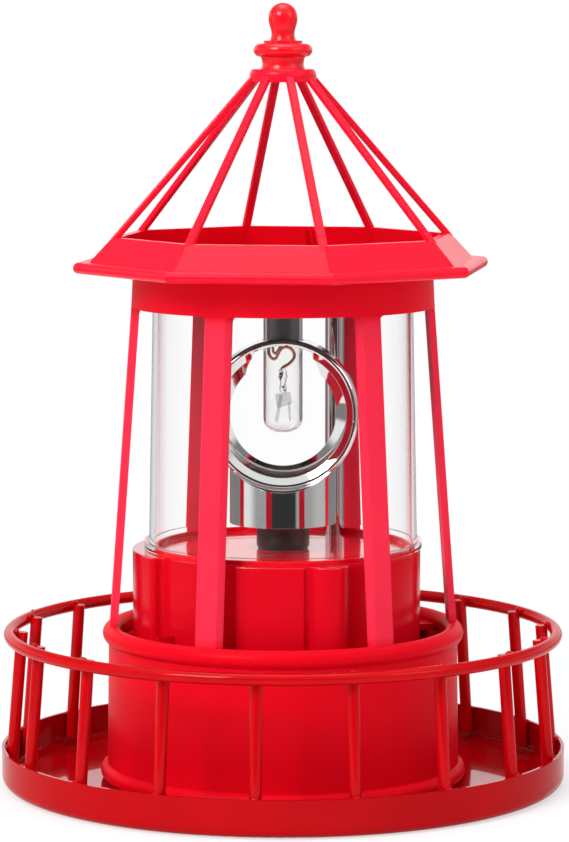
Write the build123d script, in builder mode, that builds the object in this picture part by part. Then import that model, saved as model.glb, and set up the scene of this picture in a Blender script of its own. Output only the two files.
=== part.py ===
from build123d import *
import os
from math import cos, degrees, hypot, pi, radians, sin, tan

os.makedirs("parts", exist_ok=True)

# A lighthouse lantern that stands on its gallery tray. Millimetres, +Z up, origin at the middle of
# the tray's underside. Angles are in degrees from +X, and the front of the lantern faces -Y.

# Gallery tray, pressed from steel sheet
gallery_width = 32.7
tray_height = 11.5
tray_sheet = 1.0
tray_corner = 3.0
tray_opening_play = 1.0
dimple_lip = 0.9

# Railing, bent from steel wire
rail_inset = 2.7
rail_height = 46.5
rail_wire = 3.7
rail_post_wire = 3.7
rail_post_count = 18
rail_post_foot = 3.5
weld_gap = 0.05

# Lantern house: drum, beads, window posts and upper band in one moulding
drum_taper = 0.7
drum_wall = 2.2
drum_height = 45.65
foot_bead = 2.7
foot_bead_proud = 2.0
top_bead = 2.85
top_bead_proud = 1.9
window_height = 101.35
band_play = 3.15
band_taper = 0.5
band_height = 11.0
band_wall = 2.5
post_count = 6
post_face = 6.6
post_back = 9.4
post_depth = 2.3
post_foot_inset = 0.1
post_fillet = 1.4
post_overlap = 0.3
post_sink = 0.03

# Bayonet between the house and the lamp module
ledge_drop = 2.25
ledge_thickness = 2.9
ledge_play = 0.6
tab_count = 4
tab_angle = 24.0
tab_half_width = 11.0
tab_overlap = 2.5
tab_thickness = 2.0
tab_play = 0.2
notch_half_width = 12.5
notch_play = 0.6
notch_wall = 1.3
unlock_turn = 25.0
nib_height = 3.0
nib_thickness = 1.3
nib_inset = 1.0
stop_width = 1.6
stop_play = 0.8

# Roof cage: octagonal eave, skirt, ribs and hub in one moulding
roof_sides = 8
key_panels = (1, 5)
roof_turn = 8.5
eave_overhang = 18.75
eave_thickness = 3.4
eave_round = 1.6
soffit_thickness = 2.0
soffit_play = 2.5
skirt_inset = 4.85
skirt_height = 7.4
skirt_wall = 2.2
skirt_sink = 0.2
skirt_half_angle = 44.4
roof_half_angle = 41.6
rib_width = 2.6
rib_depth = 1.9
rib_round = 0.5
rib_sink = 1.0
hub_radius = 10.2
hub_shoulder = 9.4
hub_rise = 2.25
hub_depth = 1.6
hub_bulge = 0.32
key_rib_width = 0.8
key_rib_pitch = 2.2
key_rib_depth = 1.0

# Finial, turned in one piece
finial_neck = 6.35
finial_neck_height = 3.8
finial_neck_flare = 0.5
finial_ring = 9.0
finial_ring_height = 4.0
finial_step = 5.9
finial_step_height = 0.9
finial_waist = 3.55
finial_waist_height = 3.05
finial_waist_flare = 0.5
finial_waist_drop = 0.6
finial_ball = 4.45
finial_ball_rise = 4.0
spigot_radius = 2.9
spigot_length = 3.2
fit_play = 0.05
press_play = 0.02

# Lamp module base
base_rim = 0.8
base_wall = 2.2
base_skirt = 10.6
deck_height = 28.2
deck_thickness = 2.2
lobe_step = 0.3
lobe_edge = 0.45
bulge_proud = 1.4
bulge_start = -113.5
bulge_end = -86.0
bulge_round = 0.6
column_radius = 6.4
column_inset = 2.1
column_angle = -75.2
side_lobe_proud = 4.0
side_lobe_start = 155.0
side_lobe_end = 206.5
side_lobe_round = 1.6
rim_height = 0.5
rim_band = 2.0
lip_height = 1.5
lip_wall = 1.1
groove_depth = 0.7

# Clear window tube
tube_foot_radius = 41.5
tube_taper = 1.4
tube_wall = 1.5
tube_flange_proud = 1.5
tube_flange_thickness = 2.0
tube_play = 0.3
tube_inset = 2.6
seal_height = 0.6

# Top cap, solar panel and lamp holder
cap_plate = 2.2
cap_proud = 1.0
cap_lip = 2.2
cap_lip_wall = 1.4
turret_inset = 2.1
turret_rise = 1.8
turret_play = 0.5
panel_thickness = 1.6
panel_rim = 1.3
panel_shelf = 2.6
panel_chamfer = 0.3
panel_drop = 0.4
socket_radius = 5.1
socket_length = 13.3
socket_chamfer = 0.5
bulb_radius = 6.05
bulb_wall = 0.6
bulb_length = 41.6
bulb_corner = 4.4
lead_wire = 1.1
lead_drop = 8.2
lead_bend = 0.9
lead_bends = (
    ((2.2, 0), (2.2, 0.24), (3.4, 0.51), (1.6, 0.78), (0.9, 1)),
    ((-3.2, 0), (-3.2, 0.27), (-1.4, 0.56), (-2.0, 0.8), (-0.9, 1)),
)
bead_gap = 0.4
bead_radius = 1.9
bead_length = 3.0
bulb_neck = 1.0
bulb_neck_length = 2.4
bulb_foot = 2.2
bulb_foot_length = 2.6
filament_wire = 0.5
filament_root = 1.3
filament_bow = 1.9
filament_span = 2.0
filament_bend = 0.6
filament_tip_room = 2.7
conduit_radius = 3.05
conduit_wall = 0.5
conduit_angle = 57.6
conduit_seat = 1.2
conduit_relief = 0.4
lead_core = 0.7
lead_gap = 0.4
lead_tail = 3.0
lead_head = 1.0

# Stem, bearing and reflector
stem_radius = 8.2
stem_height = 7.2
stem_chamfer = 1.2
shaft_radius = 3.0
shaft_tail = 0.4
shaft_clear = 0.5
bush_radius = 5.0
bush_flange = 7.8
bush_flange_thickness = 0.8
bush_reach = 0.6
bush_play = 0.04
end_play = 0.1
cup_radius = 16.5
cup_spigot = 4.0
cup_spigot_length = 3.0
cup_spigot_room = 0.3
ring_radius = 23.3
ring_wall = 6.8
ring_rise = 34.1
ring_turn = -5.5
ring_edge_round = 1.2
ring_land = 0.8
ring_seat = 0.3
bezel_width = 3.7
bezel_drop = 1.7
ring_lip_depth = 1.8
ring_lip_wall = 2.1
lamp_room = 0.35
hollow_radius = 11.4

# Gear train under the deck
output_pitch_radius = 14.4
gear_width = 3.0
output_teeth = 48
idler_teeth = 36
pinion_teeth = 12
tooth_share = 0.40
tooth_tip = 0.9
tooth_root = 1.25
tooth_root_flare = 0.12
tooth_tip_lean = 0.10
idler_angle = -142.6
pinion_bearing = -20.0
gear_gap = 1.2
plate_thickness = 1.5
plate_gap = 0.5
plate_screw_reach = 3.8
plate_margin = 4.0
plate_screw_angle = 40.0
plate_screw_count = 3
idler_pin_radius = 1.5
idler_pin_proud = 0.5
motor_radius = 10.0
motor_height = 20.0
motor_shaft_radius = 1.0
motor_nose_clear = 1.2
motor_collar_wall = 1.2
motor_collar_height = 4.0

# Bottom cover, battery and switch
cover_thickness = 2.4
cover_screw_angle = 90.0
cover_screw_count = 3
cover_boss_height = 12.0
cell_radius = 7.1
cell_edge = 0.6
cell_length = 48.5
cell_button_radius = 2.7
cell_button_length = 1.8
cell_offset = 14.0
cell_play = 0.4
contact_room = 1.4
contact_sheet = 0.4
contact_slack = 0.1
contact_reach = 4.6
contact_foot = 2.0
contact_tip = 0.8
box_wall = 1.4
door_thickness = 1.4
door_ledge = 2.0
door_play = 0.2
door_ear = 5.0
board_width = 20.0
board_length = 18.0
board_thickness = 1.6
board_x = 18.0
board_y = -14.0
chip_length = 5.0
chip_width = 4.0
chip_height = 1.6
chip_x = -3.0
can_radius = 2.5
can_height = 6.0
can_x = 5.0
can_y = 2.0
standoff_radius = 2.0
switch_width = 8.6
switch_depth = 4.2
switch_height = 3.4
switch_lift = 0.2
switch_lid = 0.6
knob_width = 3.0
knob_depth = 2.0
knob_reach = 1.6
knob_travel = 3.0
knob_play = 0.4
knob_chamfer = 0.3

# Screws: shank radius, head radius, head height
screw_radius = 1.25
screw_head_radius = 2.4
screw_head_height = 1.5
screw_grip = 5.0
screw_play = 0.05
screw_clear = 0.2
screw_room = 0.5
slot_width = 0.6
slot_depth = 0.6
boss_radius = 3.0
boss_floor = 0.8
boss_sink = 1.3
ear_margin = 0.6

# Length that a cut runs past the face it opens, and the most that a rounding may take of the step it
# rounds
cut_over = 1.0
round_share = 0.45
edge_share = 0.8

# Radii that follow from the clear tube outwards
tube_top_radius = tube_foot_radius - tube_taper
base_radius = tube_foot_radius + tube_play + base_rim
bulge_radius = base_radius + bulge_proud
column_centre = base_radius - column_inset
side_lobe_radius = base_radius + side_lobe_proud
ledge_radius = column_centre + column_radius + ledge_play
tab_radius = ledge_radius + tab_overlap
drum_top_radius = tab_radius + notch_play + notch_wall + drum_wall
drum_foot_radius = drum_top_radius + drum_taper
post_foot_radius = drum_top_radius - post_foot_inset
tray_radius = drum_foot_radius + gallery_width
rail_radius = tray_radius - rail_inset
band_low_radius = tube_top_radius + cap_proud + band_play + band_wall
band_top_radius = band_low_radius - band_taper
turret_radius = tube_top_radius - turret_inset
soffit_opening = turret_radius + soffit_play
eave_corner = band_low_radius + eave_overhang
skirt_corner = eave_corner - skirt_inset
bulge_corner = min(bulge_round, round_share * bulge_proud)
side_lobe_corner = min(side_lobe_round, round_share * side_lobe_proud)
lobe_top_round = min(lobe_edge, edge_share * bulge_corner)
gear_module = 2 * output_pitch_radius / output_teeth

# Heights of the main levels above the ground
bead_z = tray_sheet + drum_height
band_z = bead_z + window_height
eave_z = band_z + band_height
soffit_z = eave_z + soffit_thickness
skirt_z = eave_z + eave_thickness
skirt_top_z = skirt_z + skirt_height
roof_run = tan(radians(roof_half_angle))
skirt_run = tan(radians(skirt_half_angle))
skirt_top_corner = skirt_corner - skirt_height * skirt_run
hub_line_z = skirt_top_z + (skirt_top_corner - hub_radius) / roof_run
hub_top_z = hub_line_z + hub_rise
ledge_z = bead_z - ledge_drop
tab_z = ledge_z + tab_play
base_z = tab_z - base_skirt
deck_z = tab_z + deck_height
rim_z = deck_z + rim_height
tube_z = deck_z - groove_depth + seal_height
tube_top_z = band_z + tube_inset
cap_z = tube_top_z + end_play
cap_top_z = cap_z + cap_plate
panel_z = soffit_z + turret_rise - panel_drop - panel_thickness
cover_z = base_z - cover_thickness
gear_top_z = deck_z - deck_thickness - gear_gap
gear_z = gear_top_z - gear_width
plate_z = gear_z - plate_gap - plate_thickness
motor_z = plate_z - motor_height
stem_z = deck_z + bush_flange_thickness + end_play
stem_top_z = stem_z + stem_height
ring_z = stem_top_z + ring_rise
cell_z = base_z + cell_radius + cell_play
board_z = base_z + switch_height

# Other sizes that follow from the ones above
tray_opening = tab_radius + tray_opening_play
gallery_boss_circle = drum_foot_radius - drum_wall - boss_radius + boss_sink
gallery_screw_angle = 45.0
roof_boss_circle = turret_radius + turret_play + boss_radius + ear_margin
roof_screw_angle = 45.0
roof_screw_count = 4
gallery_screw_count = 4
idler_distance = gear_module * (output_teeth + idler_teeth) / 2
pinion_distance = gear_module * (idler_teeth + pinion_teeth) / 2
plate_screw_circle = idler_distance + plate_screw_reach
plate_radius = plate_screw_circle + plate_margin
cover_screw_circle = base_radius - base_wall - boss_radius + boss_sink
screw_bite = screw_grip - boss_floor - screw_room
box_length = cell_length + cell_button_length + 2 * contact_room
box_width = 2 * (cell_radius + cell_play)
conduit_circle = tube_top_radius - tube_wall - conduit_radius - tube_play


def on_circle(radius, angle, height=0.0):
    """The point at this radius, angle and height about the lantern's axis."""
    return (radius * cos(radians(angle)), radius * sin(radians(angle)), height)


idler_spot = on_circle(idler_distance, idler_angle)
pinion_step = on_circle(pinion_distance, pinion_bearing)
pinion_spot = (idler_spot[0] + pinion_step[0], idler_spot[1] + pinion_step[1], 0.0)
conduit_spot = on_circle(conduit_circle, conduit_angle)


def turned_outline(*points):
    """A closed outline of (radius, height) points, ready to be turned about the axis."""
    with BuildSketch(Plane.XZ) as outline:
        with BuildLine():
            Polyline(*points, close=True)
        make_face()
    return outline.sketch


def sector_outline(inner, outer, start, end, height):
    """A ring sector between two radii and two angles, at this height."""
    with BuildSketch(Plane.XY.offset(height)) as outline:
        with BuildLine():
            CenterArc((0, 0), outer, start, end - start)
            CenterArc((0, 0), inner, start, end - start)
            Line(on_circle(inner, start)[:2], on_circle(outer, start)[:2])
            Line(on_circle(inner, end)[:2], on_circle(outer, end)[:2])
        make_face()
    return outline.sketch


def octagon_outline(corner, height):
    """The roof's octagon with this corner radius, at this height."""
    with BuildSketch(Plane.XY.offset(height)) as outline:
        RegularPolygon(corner, roof_sides, rotation=roof_turn)
    return outline.sketch


def module_outline(inset, height):
    """The lamp base seen from above: a circle with a front bulge, a column and a side lobe."""
    with BuildSketch(Plane.XY.offset(height)) as outline:
        Circle(base_radius - inset)
        add(sector_outline(base_radius / 2, bulge_radius - inset, bulge_start + inset, bulge_end, 0))
        add(
            sector_outline(
                base_radius / 2,
                side_lobe_radius - inset,
                side_lobe_start + inset,
                side_lobe_end - inset,
                0,
            )
        )
        with Locations(on_circle(column_centre, column_angle)):
            Circle(column_radius - inset)
    return outline.sketch


def soft_module_outline(height):
    """The outside of the lamp base, with soft corners where its shapes leave the circle."""
    with BuildSketch(Plane.XY.offset(height)) as outline:
        add(module_outline(0, 0))
        front = outline.vertices().filter_by_position(Axis.Y, -2 * base_radius, -base_radius / 2)
        fillet(front, radius=bulge_corner)
        left = outline.vertices().filter_by_position(Axis.X, -2 * base_radius, -3 * base_radius / 4)
        fillet(left, radius=side_lobe_corner)
    return outline.sketch


def gear_outline(teeth, spot, first_tooth, height):
    """A spur gear with straight-sided teeth, one tooth centred on the angle first_tooth."""
    pitch = gear_module * teeth / 2
    tip = pitch + tooth_tip * gear_module
    root = pitch - tooth_root * gear_module
    step = 360 / teeth
    half_root = step * (tooth_share / 2 + tooth_root_flare)
    half_tip = step * (tooth_share / 2 - tooth_tip_lean)
    corners = []
    for tooth in range(teeth):
        middle = first_tooth + tooth * step
        for radius, turn in ((root, -half_root), (tip, -half_tip), (tip, half_tip), (root, half_root)):
            x, y, _ = on_circle(radius, middle + turn)
            corners.append((spot[0] + x, spot[1] + y))
    with BuildSketch(Plane.XY.offset(height)) as outline:
        with BuildLine():
            Polyline(*corners, close=True)
        make_face()
    return outline.sketch


def pan_screw(length):
    """A pan-head screw with a slot, head down to z = 0 and shank pointing down."""
    with BuildPart() as screw:
        Cylinder(screw_radius, length, align=(Align.CENTER, Align.CENTER, Align.MAX))
        Cylinder(
            screw_head_radius, screw_head_height, align=(Align.CENTER, Align.CENTER, Align.MIN)
        )
        with Locations((0, 0, screw_head_height)):
            Box(2 * screw_head_radius, slot_width, 2 * slot_depth, mode=Mode.SUBTRACT)
    return screw.part


# Gallery tray: the sheet turns up into the rim, and dimples take the countersunk screws
with BuildPart() as gallery_tray:
    with BuildSketch(Plane.XZ):
        with BuildLine():
            FilletPolyline(
                (tray_opening, 0),
                (tray_radius, 0),
                (tray_radius, tray_height),
                radius=tray_corner,
            )
            offset(amount=tray_sheet, side=Side.LEFT)
        make_face()
    revolve(axis=Axis.Z)
    with PolarLocations(gallery_boss_circle, gallery_screw_count, gallery_screw_angle):
        Cylinder(boss_radius + ear_margin, tray_sheet, align=(Align.CENTER, Align.CENTER, Align.MIN))
    with Locations((0, 0, tray_sheet)):
        with PolarLocations(gallery_boss_circle, gallery_screw_count, gallery_screw_angle):
            Cone(
                screw_head_radius + dimple_lip / 2,
                screw_radius + dimple_lip,
                dimple_lip,
                align=(Align.CENTER, Align.CENTER, Align.MIN),
            )
    with PolarLocations(gallery_boss_circle, gallery_screw_count, gallery_screw_angle):
        Cone(
            screw_head_radius,
            screw_radius + screw_play,
            screw_head_radius - screw_radius,
            align=(Align.CENTER, Align.CENTER, Align.MIN),
            mode=Mode.SUBTRACT,
        )
        Cylinder(screw_radius + screw_play, 4 * tray_sheet, mode=Mode.SUBTRACT)
gallery_tray.part.label = "gallery_tray"
export_step(gallery_tray.part, "parts/gallery_tray.step")

# Countersunk screws from below into the bosses of the house
with BuildPart() as gallery_screws:
    with PolarLocations(gallery_boss_circle, gallery_screw_count, gallery_screw_angle):
        Cone(
            screw_head_radius - screw_play,
            screw_radius,
            screw_head_radius - screw_radius,
            align=(Align.CENTER, Align.CENTER, Align.MIN),
        )
        Cylinder(
            screw_radius,
            tray_sheet + dimple_lip + screw_grip,
            align=(Align.CENTER, Align.CENTER, Align.MIN),
        )
        Box(2 * screw_head_radius, slot_width, 2 * slot_depth, mode=Mode.SUBTRACT)
gallery_screws.part.label = "gallery_screws"
export_step(gallery_screws.part, "parts/gallery_screws.step")

# Railing hoop: one ring of wire
with BuildPart() as railing_ring:
    with BuildSketch(Plane.XZ):
        with Locations((rail_radius, rail_height)):
            Circle(rail_wire / 2)
    revolve(axis=Axis.Z)
railing_ring.part.label = "railing_ring"
export_step(railing_ring.part, "parts/railing_ring.step")

# Railing posts: straight wires, inside the rim at the foot and inside the hoop at the top
rail_post_low = tray_radius - tray_sheet - rail_post_wire / 2 - weld_gap
rail_post_high = rail_radius - rail_wire / 2 - rail_post_wire / 2 - weld_gap
rail_post_rise = rail_height - rail_post_foot
rail_post_length = hypot(rail_post_rise, rail_post_low - rail_post_high) + rail_wire / 4
with BuildPart() as railing_posts:
    for number in range(rail_post_count):
        bearing = number * 360 / rail_post_count
        foot = on_circle(rail_post_low, bearing, rail_post_foot)
        top = on_circle(rail_post_high, bearing, rail_height)
        with BuildSketch(Plane(origin=foot, z_dir=Vector(*top) - Vector(*foot))):
            Circle(rail_post_wire / 2)
        extrude(amount=rail_post_length)
railing_posts.part.label = "railing_posts"
export_step(railing_posts.part, "parts/railing_posts.step")

# Lantern house
post_top_radius = band_low_radius - post_face**2 / (8 * band_low_radius) - post_sink
post_flare = (post_back - post_face) / 2
post_side = hypot(post_depth, post_flare)
with BuildPart() as lantern_house:
    revolve(
        turned_outline(
            (drum_foot_radius - drum_wall, tray_sheet),
            (drum_foot_radius, tray_sheet),
            (drum_top_radius, bead_z),
            (drum_top_radius - drum_wall, bead_z),
        ),
        axis=Axis.Z,
    )
    with BuildSketch(Plane.XZ):
        with Locations((drum_foot_radius + foot_bead_proud - foot_bead, tray_sheet + foot_bead)):
            Circle(foot_bead)
        with Locations((drum_top_radius + top_bead_proud - top_bead, bead_z)):
            Circle(top_bead)
    revolve(axis=Axis.Z)
    revolve(
        turned_outline(
            (ledge_radius, ledge_z - ledge_thickness),
            (drum_top_radius - drum_wall / 2, ledge_z - ledge_thickness),
            (drum_top_radius - drum_wall / 2, ledge_z),
            (ledge_radius, ledge_z),
        ),
        axis=Axis.Z,
    )
    for number in range(tab_count):
        turn = tab_angle + number * 360 / tab_count
        gap = turn - unlock_turn
        extrude(
            sector_outline(
                ledge_radius - cut_over,
                tab_radius + notch_play,
                gap - notch_half_width,
                gap + notch_half_width,
                ledge_z - ledge_thickness,
            ),
            amount=ledge_thickness + nib_height,
            mode=Mode.SUBTRACT,
        )
        stop = turn + tab_half_width + stop_play
        extrude(
            sector_outline(
                ledge_radius + ledge_play,
                tab_radius + notch_play,
                stop,
                stop + stop_width,
                ledge_z,
            ),
            amount=tab_thickness,
        )
    revolve(
        turned_outline(
            (band_low_radius - band_wall, band_z),
            (band_low_radius, band_z),
            (band_top_radius, eave_z),
            (band_top_radius - band_wall, eave_z),
        ),
        axis=Axis.Z,
    )
    for number in range(post_count):
        turn = number * 360 / post_count
        for height, radius in ((bead_z, post_foot_radius), (band_z + 2 * post_overlap, post_top_radius)):
            with BuildSketch(Plane.XY.offset(height).rotated((0, 0, turn))):
                with BuildLine():
                    Polyline(
                        (radius, -post_face / 2),
                        (radius, post_face / 2),
                        (radius - post_depth, post_back / 2),
                        (radius - post_depth, -post_back / 2),
                        close=True,
                    )
                make_face()
        loft()
        for side in (-1, 1):
            outward = Vector(*on_circle(1, turn))
            across = Vector(*on_circle(side, turn + 90))
            corner = outward * post_top_radius + across * post_face / 2 + Vector(0, 0, band_z)
            with BuildSketch(Plane(origin=corner, x_dir=across, z_dir=outward * side)):
                with BuildLine():
                    Polyline(
                        (0, -post_fillet),
                        (-post_overlap, -post_fillet),
                        (-post_overlap, post_overlap),
                        (post_fillet, post_overlap),
                        (post_fillet, 0),
                    )
                    RadiusArc((post_fillet, 0), (0, -post_fillet), -post_fillet)
                make_face()
            extrude(amount=post_side, dir=across * post_flare - outward * post_depth)
    with PolarLocations(gallery_boss_circle, gallery_screw_count, gallery_screw_angle):
        with Locations((0, 0, tray_sheet)):
            Cylinder(
                boss_radius,
                screw_grip + 2 * dimple_lip,
                align=(Align.CENTER, Align.CENTER, Align.MIN),
            )
            Cone(
                screw_head_radius + dimple_lip / 2 + screw_play,
                screw_radius + dimple_lip + screw_play,
                dimple_lip + screw_play,
                align=(Align.CENTER, Align.CENTER, Align.MIN),
                mode=Mode.SUBTRACT,
            )
            Cylinder(
                screw_radius + screw_play,
                dimple_lip + screw_grip + screw_room,
                align=(Align.CENTER, Align.CENTER, Align.MIN),
                mode=Mode.SUBTRACT,
            )
    with PolarLocations(roof_boss_circle, roof_screw_count, roof_screw_angle):
        with Locations((0, 0, eave_z)):
            Cylinder(boss_radius, screw_grip, align=(Align.CENTER, Align.CENTER, Align.MAX))
            Cylinder(
                screw_radius + screw_play,
                2 * (screw_grip - boss_floor),
                mode=Mode.SUBTRACT,
            )
lantern_house.part.label = "lantern_house"
export_step(lantern_house.part, "parts/lantern_house.step")

# Roof cage
skirt_inner = skirt_wall / cos(pi / roof_sides)
skirt_foot_inner = skirt_corner + (eave_thickness - soffit_thickness) * skirt_run - skirt_inner
skirt_top_inner = skirt_top_corner - skirt_inner
rib_foot_z = skirt_top_z - rib_sink
rib_foot_corner = skirt_top_corner + rib_sink * roof_run
rib_length = (hub_line_z - rib_foot_z) * hypot(roof_run, 1.0)
with BuildPart() as roof_cage:
    extrude(octagon_outline(eave_corner, eave_z), amount=eave_thickness)
    fillet(
        roof_cage.edges().filter_by(Plane.XY),
        radius=eave_round,
    )
    loft([
        octagon_outline(skirt_corner, skirt_z - skirt_sink).face(),
        octagon_outline(skirt_top_corner, skirt_top_z).face(),
    ])
    loft(
        [
            octagon_outline(skirt_foot_inner, soffit_z).face(),
            octagon_outline(skirt_top_inner - cut_over * skirt_run, skirt_top_z + cut_over).face(),
        ],
        mode=Mode.SUBTRACT,
    )
    for panel in key_panels:
        turn = roof_turn + (panel + 0.5) * 360 / roof_sides
        across = Vector(*on_circle(1, turn + 90))
        top_reach = skirt_top_inner * cos(pi / roof_sides)
        foot_reach = skirt_foot_inner * cos(pi / roof_sides)
        for side in (-1, 1):
            middle = across * side * key_rib_pitch / 2
            with BuildSketch(Plane(origin=middle, x_dir=on_circle(1, turn), z_dir=-across)):
                with BuildLine():
                    Polyline(
                        (top_reach - key_rib_depth, skirt_top_z - key_rib_depth),
                        (top_reach + skirt_wall / 2, skirt_top_z - key_rib_depth),
                        (foot_reach + skirt_wall / 2, soffit_z - skirt_wall / 4),
                        (foot_reach - key_rib_depth, soffit_z - skirt_wall / 4),
                        close=True,
                    )
                make_face()
            extrude(amount=key_rib_width / 2, both=True)
    with Locations((0, 0, eave_z)):
        Cylinder(
            soffit_opening,
            4 * soffit_thickness,
            mode=Mode.SUBTRACT,
        )
        with PolarLocations(roof_boss_circle, roof_screw_count, roof_screw_angle):
            Cylinder(
                boss_radius + ear_margin,
                soffit_thickness,
                align=(Align.CENTER, Align.CENTER, Align.MIN),
            )
            Cylinder(screw_radius + screw_clear, 3 * soffit_thickness, mode=Mode.SUBTRACT)
    for number in range(roof_sides):
        turn = roof_turn + number * 360 / roof_sides
        inset = rib_depth / 2 * hypot(roof_run, 1.0)
        origin = on_circle(rib_foot_corner - inset, turn, rib_foot_z)
        slope = on_circle(-roof_run, turn, 1.0)
        with BuildSketch(Plane(origin=origin, x_dir=on_circle(1, turn + 90), z_dir=slope)):
            RectangleRounded(rib_width, rib_depth, rib_round)
        extrude(amount=rib_length)
    with BuildSketch(Plane.XZ):
        with BuildLine():
            Polyline(
                (0, hub_top_z),
                (0, hub_line_z - hub_depth),
                (hub_radius, hub_line_z - hub_depth),
                (hub_radius, hub_line_z),
            )
            ThreePointArc(
                (hub_radius, hub_line_z),
                ((hub_radius + hub_shoulder) / 2 + hub_bulge, hub_line_z + hub_rise / 2),
                (hub_shoulder, hub_top_z),
            )
            Line((hub_shoulder, hub_top_z), (0, hub_top_z))
        make_face()
    revolve(axis=Axis.Z)
    with Locations((0, 0, hub_top_z)):
        Cylinder(spigot_radius + fit_play, 4 * (hub_rise + hub_depth), mode=Mode.SUBTRACT)
roof_cage.part.label = "roof_cage"
export_step(roof_cage.part, "parts/roof_cage.step")

# Screws that hold the roof down on the band
roof_screw = pan_screw(soffit_thickness + screw_bite)
with BuildPart() as roof_screws:
    with Locations((0, 0, soffit_z)):
        with PolarLocations(roof_boss_circle, roof_screw_count, roof_screw_angle):
            add(roof_screw)
roof_screws.part.label = "roof_screws"
export_step(roof_screws.part, "parts/roof_screws.step")

# Finial: neck, ring, step, waist and ball, on a spigot in the hub
finial_ring_z = hub_top_z + finial_neck_height
finial_step_z = finial_ring_z + finial_ring_height
finial_waist_z = finial_step_z + finial_step_height + finial_waist_height
finial_ball_z = finial_waist_z + finial_ball_rise
ring_half = finial_ring_height / 2
with BuildPart() as finial:
    with BuildSketch(Plane.XZ):
        with BuildLine():
            Polyline(
                (0, finial_ball_z + finial_ball),
                (0, hub_top_z - spigot_length),
                (spigot_radius, hub_top_z - spigot_length),
                (spigot_radius, hub_top_z),
                (finial_neck + finial_neck_flare, hub_top_z),
            )
            ThreePointArc(
                (finial_neck + finial_neck_flare, hub_top_z),
                (finial_neck, (hub_top_z + finial_ring_z) / 2),
                (finial_neck + finial_neck_flare, finial_ring_z),
            )
            Line((finial_neck + finial_neck_flare, finial_ring_z), (finial_ring - ring_half, finial_ring_z))
            ThreePointArc(
                (finial_ring - ring_half, finial_ring_z),
                (finial_ring, finial_ring_z + ring_half),
                (finial_ring - ring_half, finial_step_z),
            )
            Polyline(
                (finial_ring - ring_half, finial_step_z),
                (finial_step, finial_step_z),
                (finial_step, finial_step_z + finial_step_height),
                (finial_waist + finial_waist_flare, finial_step_z + finial_step_height),
            )
            Spline(
                (finial_waist + finial_waist_flare, finial_step_z + finial_step_height),
                (finial_waist, finial_waist_z - finial_waist_drop),
                (finial_ball, finial_ball_z),
                tangents=[(-finial_waist_flare, 1), (0, 1)],
            )
            ThreePointArc(
                (finial_ball, finial_ball_z),
                (finial_ball * sin(pi / 4), finial_ball_z + finial_ball * cos(pi / 4)),
                (0, finial_ball_z + finial_ball),
            )
        make_face()
    revolve(axis=Axis.Z)
finial.part.label = "finial"
export_step(finial.part, "parts/finial.step")

# Lamp module base
groove_inner = tube_foot_radius - tube_wall - tube_play
groove_outer = tube_foot_radius + tube_play
under_deck_z = deck_z - deck_thickness
plate_boss_height = under_deck_z - plate_z - plate_thickness
with BuildPart() as module_base:
    extrude(soft_module_outline(base_z), amount=rim_z - lobe_step - base_z)
    fillet(module_base.edges().group_by(Axis.Z)[-1], radius=lobe_top_round)
    with Locations((0, 0, rim_z)):
        Cylinder(base_radius, rim_band, align=(Align.CENTER, Align.CENTER, Align.MAX))
    revolve(
        turned_outline(
            (0, deck_z),
            (groove_inner, deck_z),
            (groove_inner, deck_z - groove_depth),
            (groove_outer, deck_z - groove_depth),
            (groove_outer, rim_z + cut_over),
            (0, rim_z + cut_over),
        ),
        axis=Axis.Z,
        mode=Mode.SUBTRACT,
    )
    revolve(
        turned_outline(
            (groove_inner - lip_wall, deck_z - groove_depth),
            (groove_inner, deck_z - groove_depth),
            (groove_inner, deck_z + lip_height),
            (groove_inner - lip_wall, deck_z + lip_height),
        ),
        axis=Axis.Z,
    )
    extrude(module_outline(base_wall, base_z), amount=under_deck_z - base_z, mode=Mode.SUBTRACT)
    for number in range(tab_count):
        turn = tab_angle + number * 360 / tab_count
        start = turn - tab_half_width
        end = turn + tab_half_width
        extrude(
            sector_outline(base_radius - base_wall / 2, tab_radius, start, end, tab_z),
            amount=tab_thickness,
        )
        nib_turn = degrees(nib_thickness / tab_radius)
        extrude(
            sector_outline(base_radius - base_wall / 2, tab_radius - nib_inset, end - nib_turn, end, tab_z),
            amount=tab_thickness + nib_height,
        )
    with PolarLocations(cover_screw_circle, cover_screw_count, cover_screw_angle):
        with Locations((0, 0, base_z)):
            Cylinder(boss_radius, cover_boss_height, align=(Align.CENTER, Align.CENTER, Align.MIN))
            Cylinder(
                screw_radius + screw_play,
                2 * (cover_boss_height - boss_floor),
                mode=Mode.SUBTRACT,
            )
    with PolarLocations(plate_screw_circle, plate_screw_count, plate_screw_angle):
        with Locations((0, 0, plate_z + plate_thickness)):
            Cylinder(
                boss_radius,
                plate_boss_height,
                align=(Align.CENTER, Align.CENTER, Align.MIN),
            )
            Cylinder(
                screw_radius + screw_play,
                2 * (plate_boss_height - boss_floor),
                mode=Mode.SUBTRACT,
            )
    with Locations((0, 0, deck_z)):
        Cylinder(bush_radius + fit_play, 4 * deck_thickness, mode=Mode.SUBTRACT)
        with Locations(conduit_spot):
            Cylinder(conduit_radius + fit_play, 2 * conduit_seat, mode=Mode.SUBTRACT)
            Cylinder(conduit_radius - conduit_wall, 4 * deck_thickness, mode=Mode.SUBTRACT)
module_base.part.label = "module_base"
export_step(module_base.part, "parts/module_base.step")

# Rubber ring in the groove under the tube
with BuildPart() as tube_seal:
    revolve(
        turned_outline(
            (groove_inner + tube_play / 2, deck_z - groove_depth),
            (groove_outer - tube_play / 2, deck_z - groove_depth),
            (groove_outer - tube_play / 2, tube_z),
            (groove_inner + tube_play / 2, tube_z),
        ),
        axis=Axis.Z,
    )
tube_seal.part.label = "tube_seal"
export_step(tube_seal.part, "parts/tube_seal.step")

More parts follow.
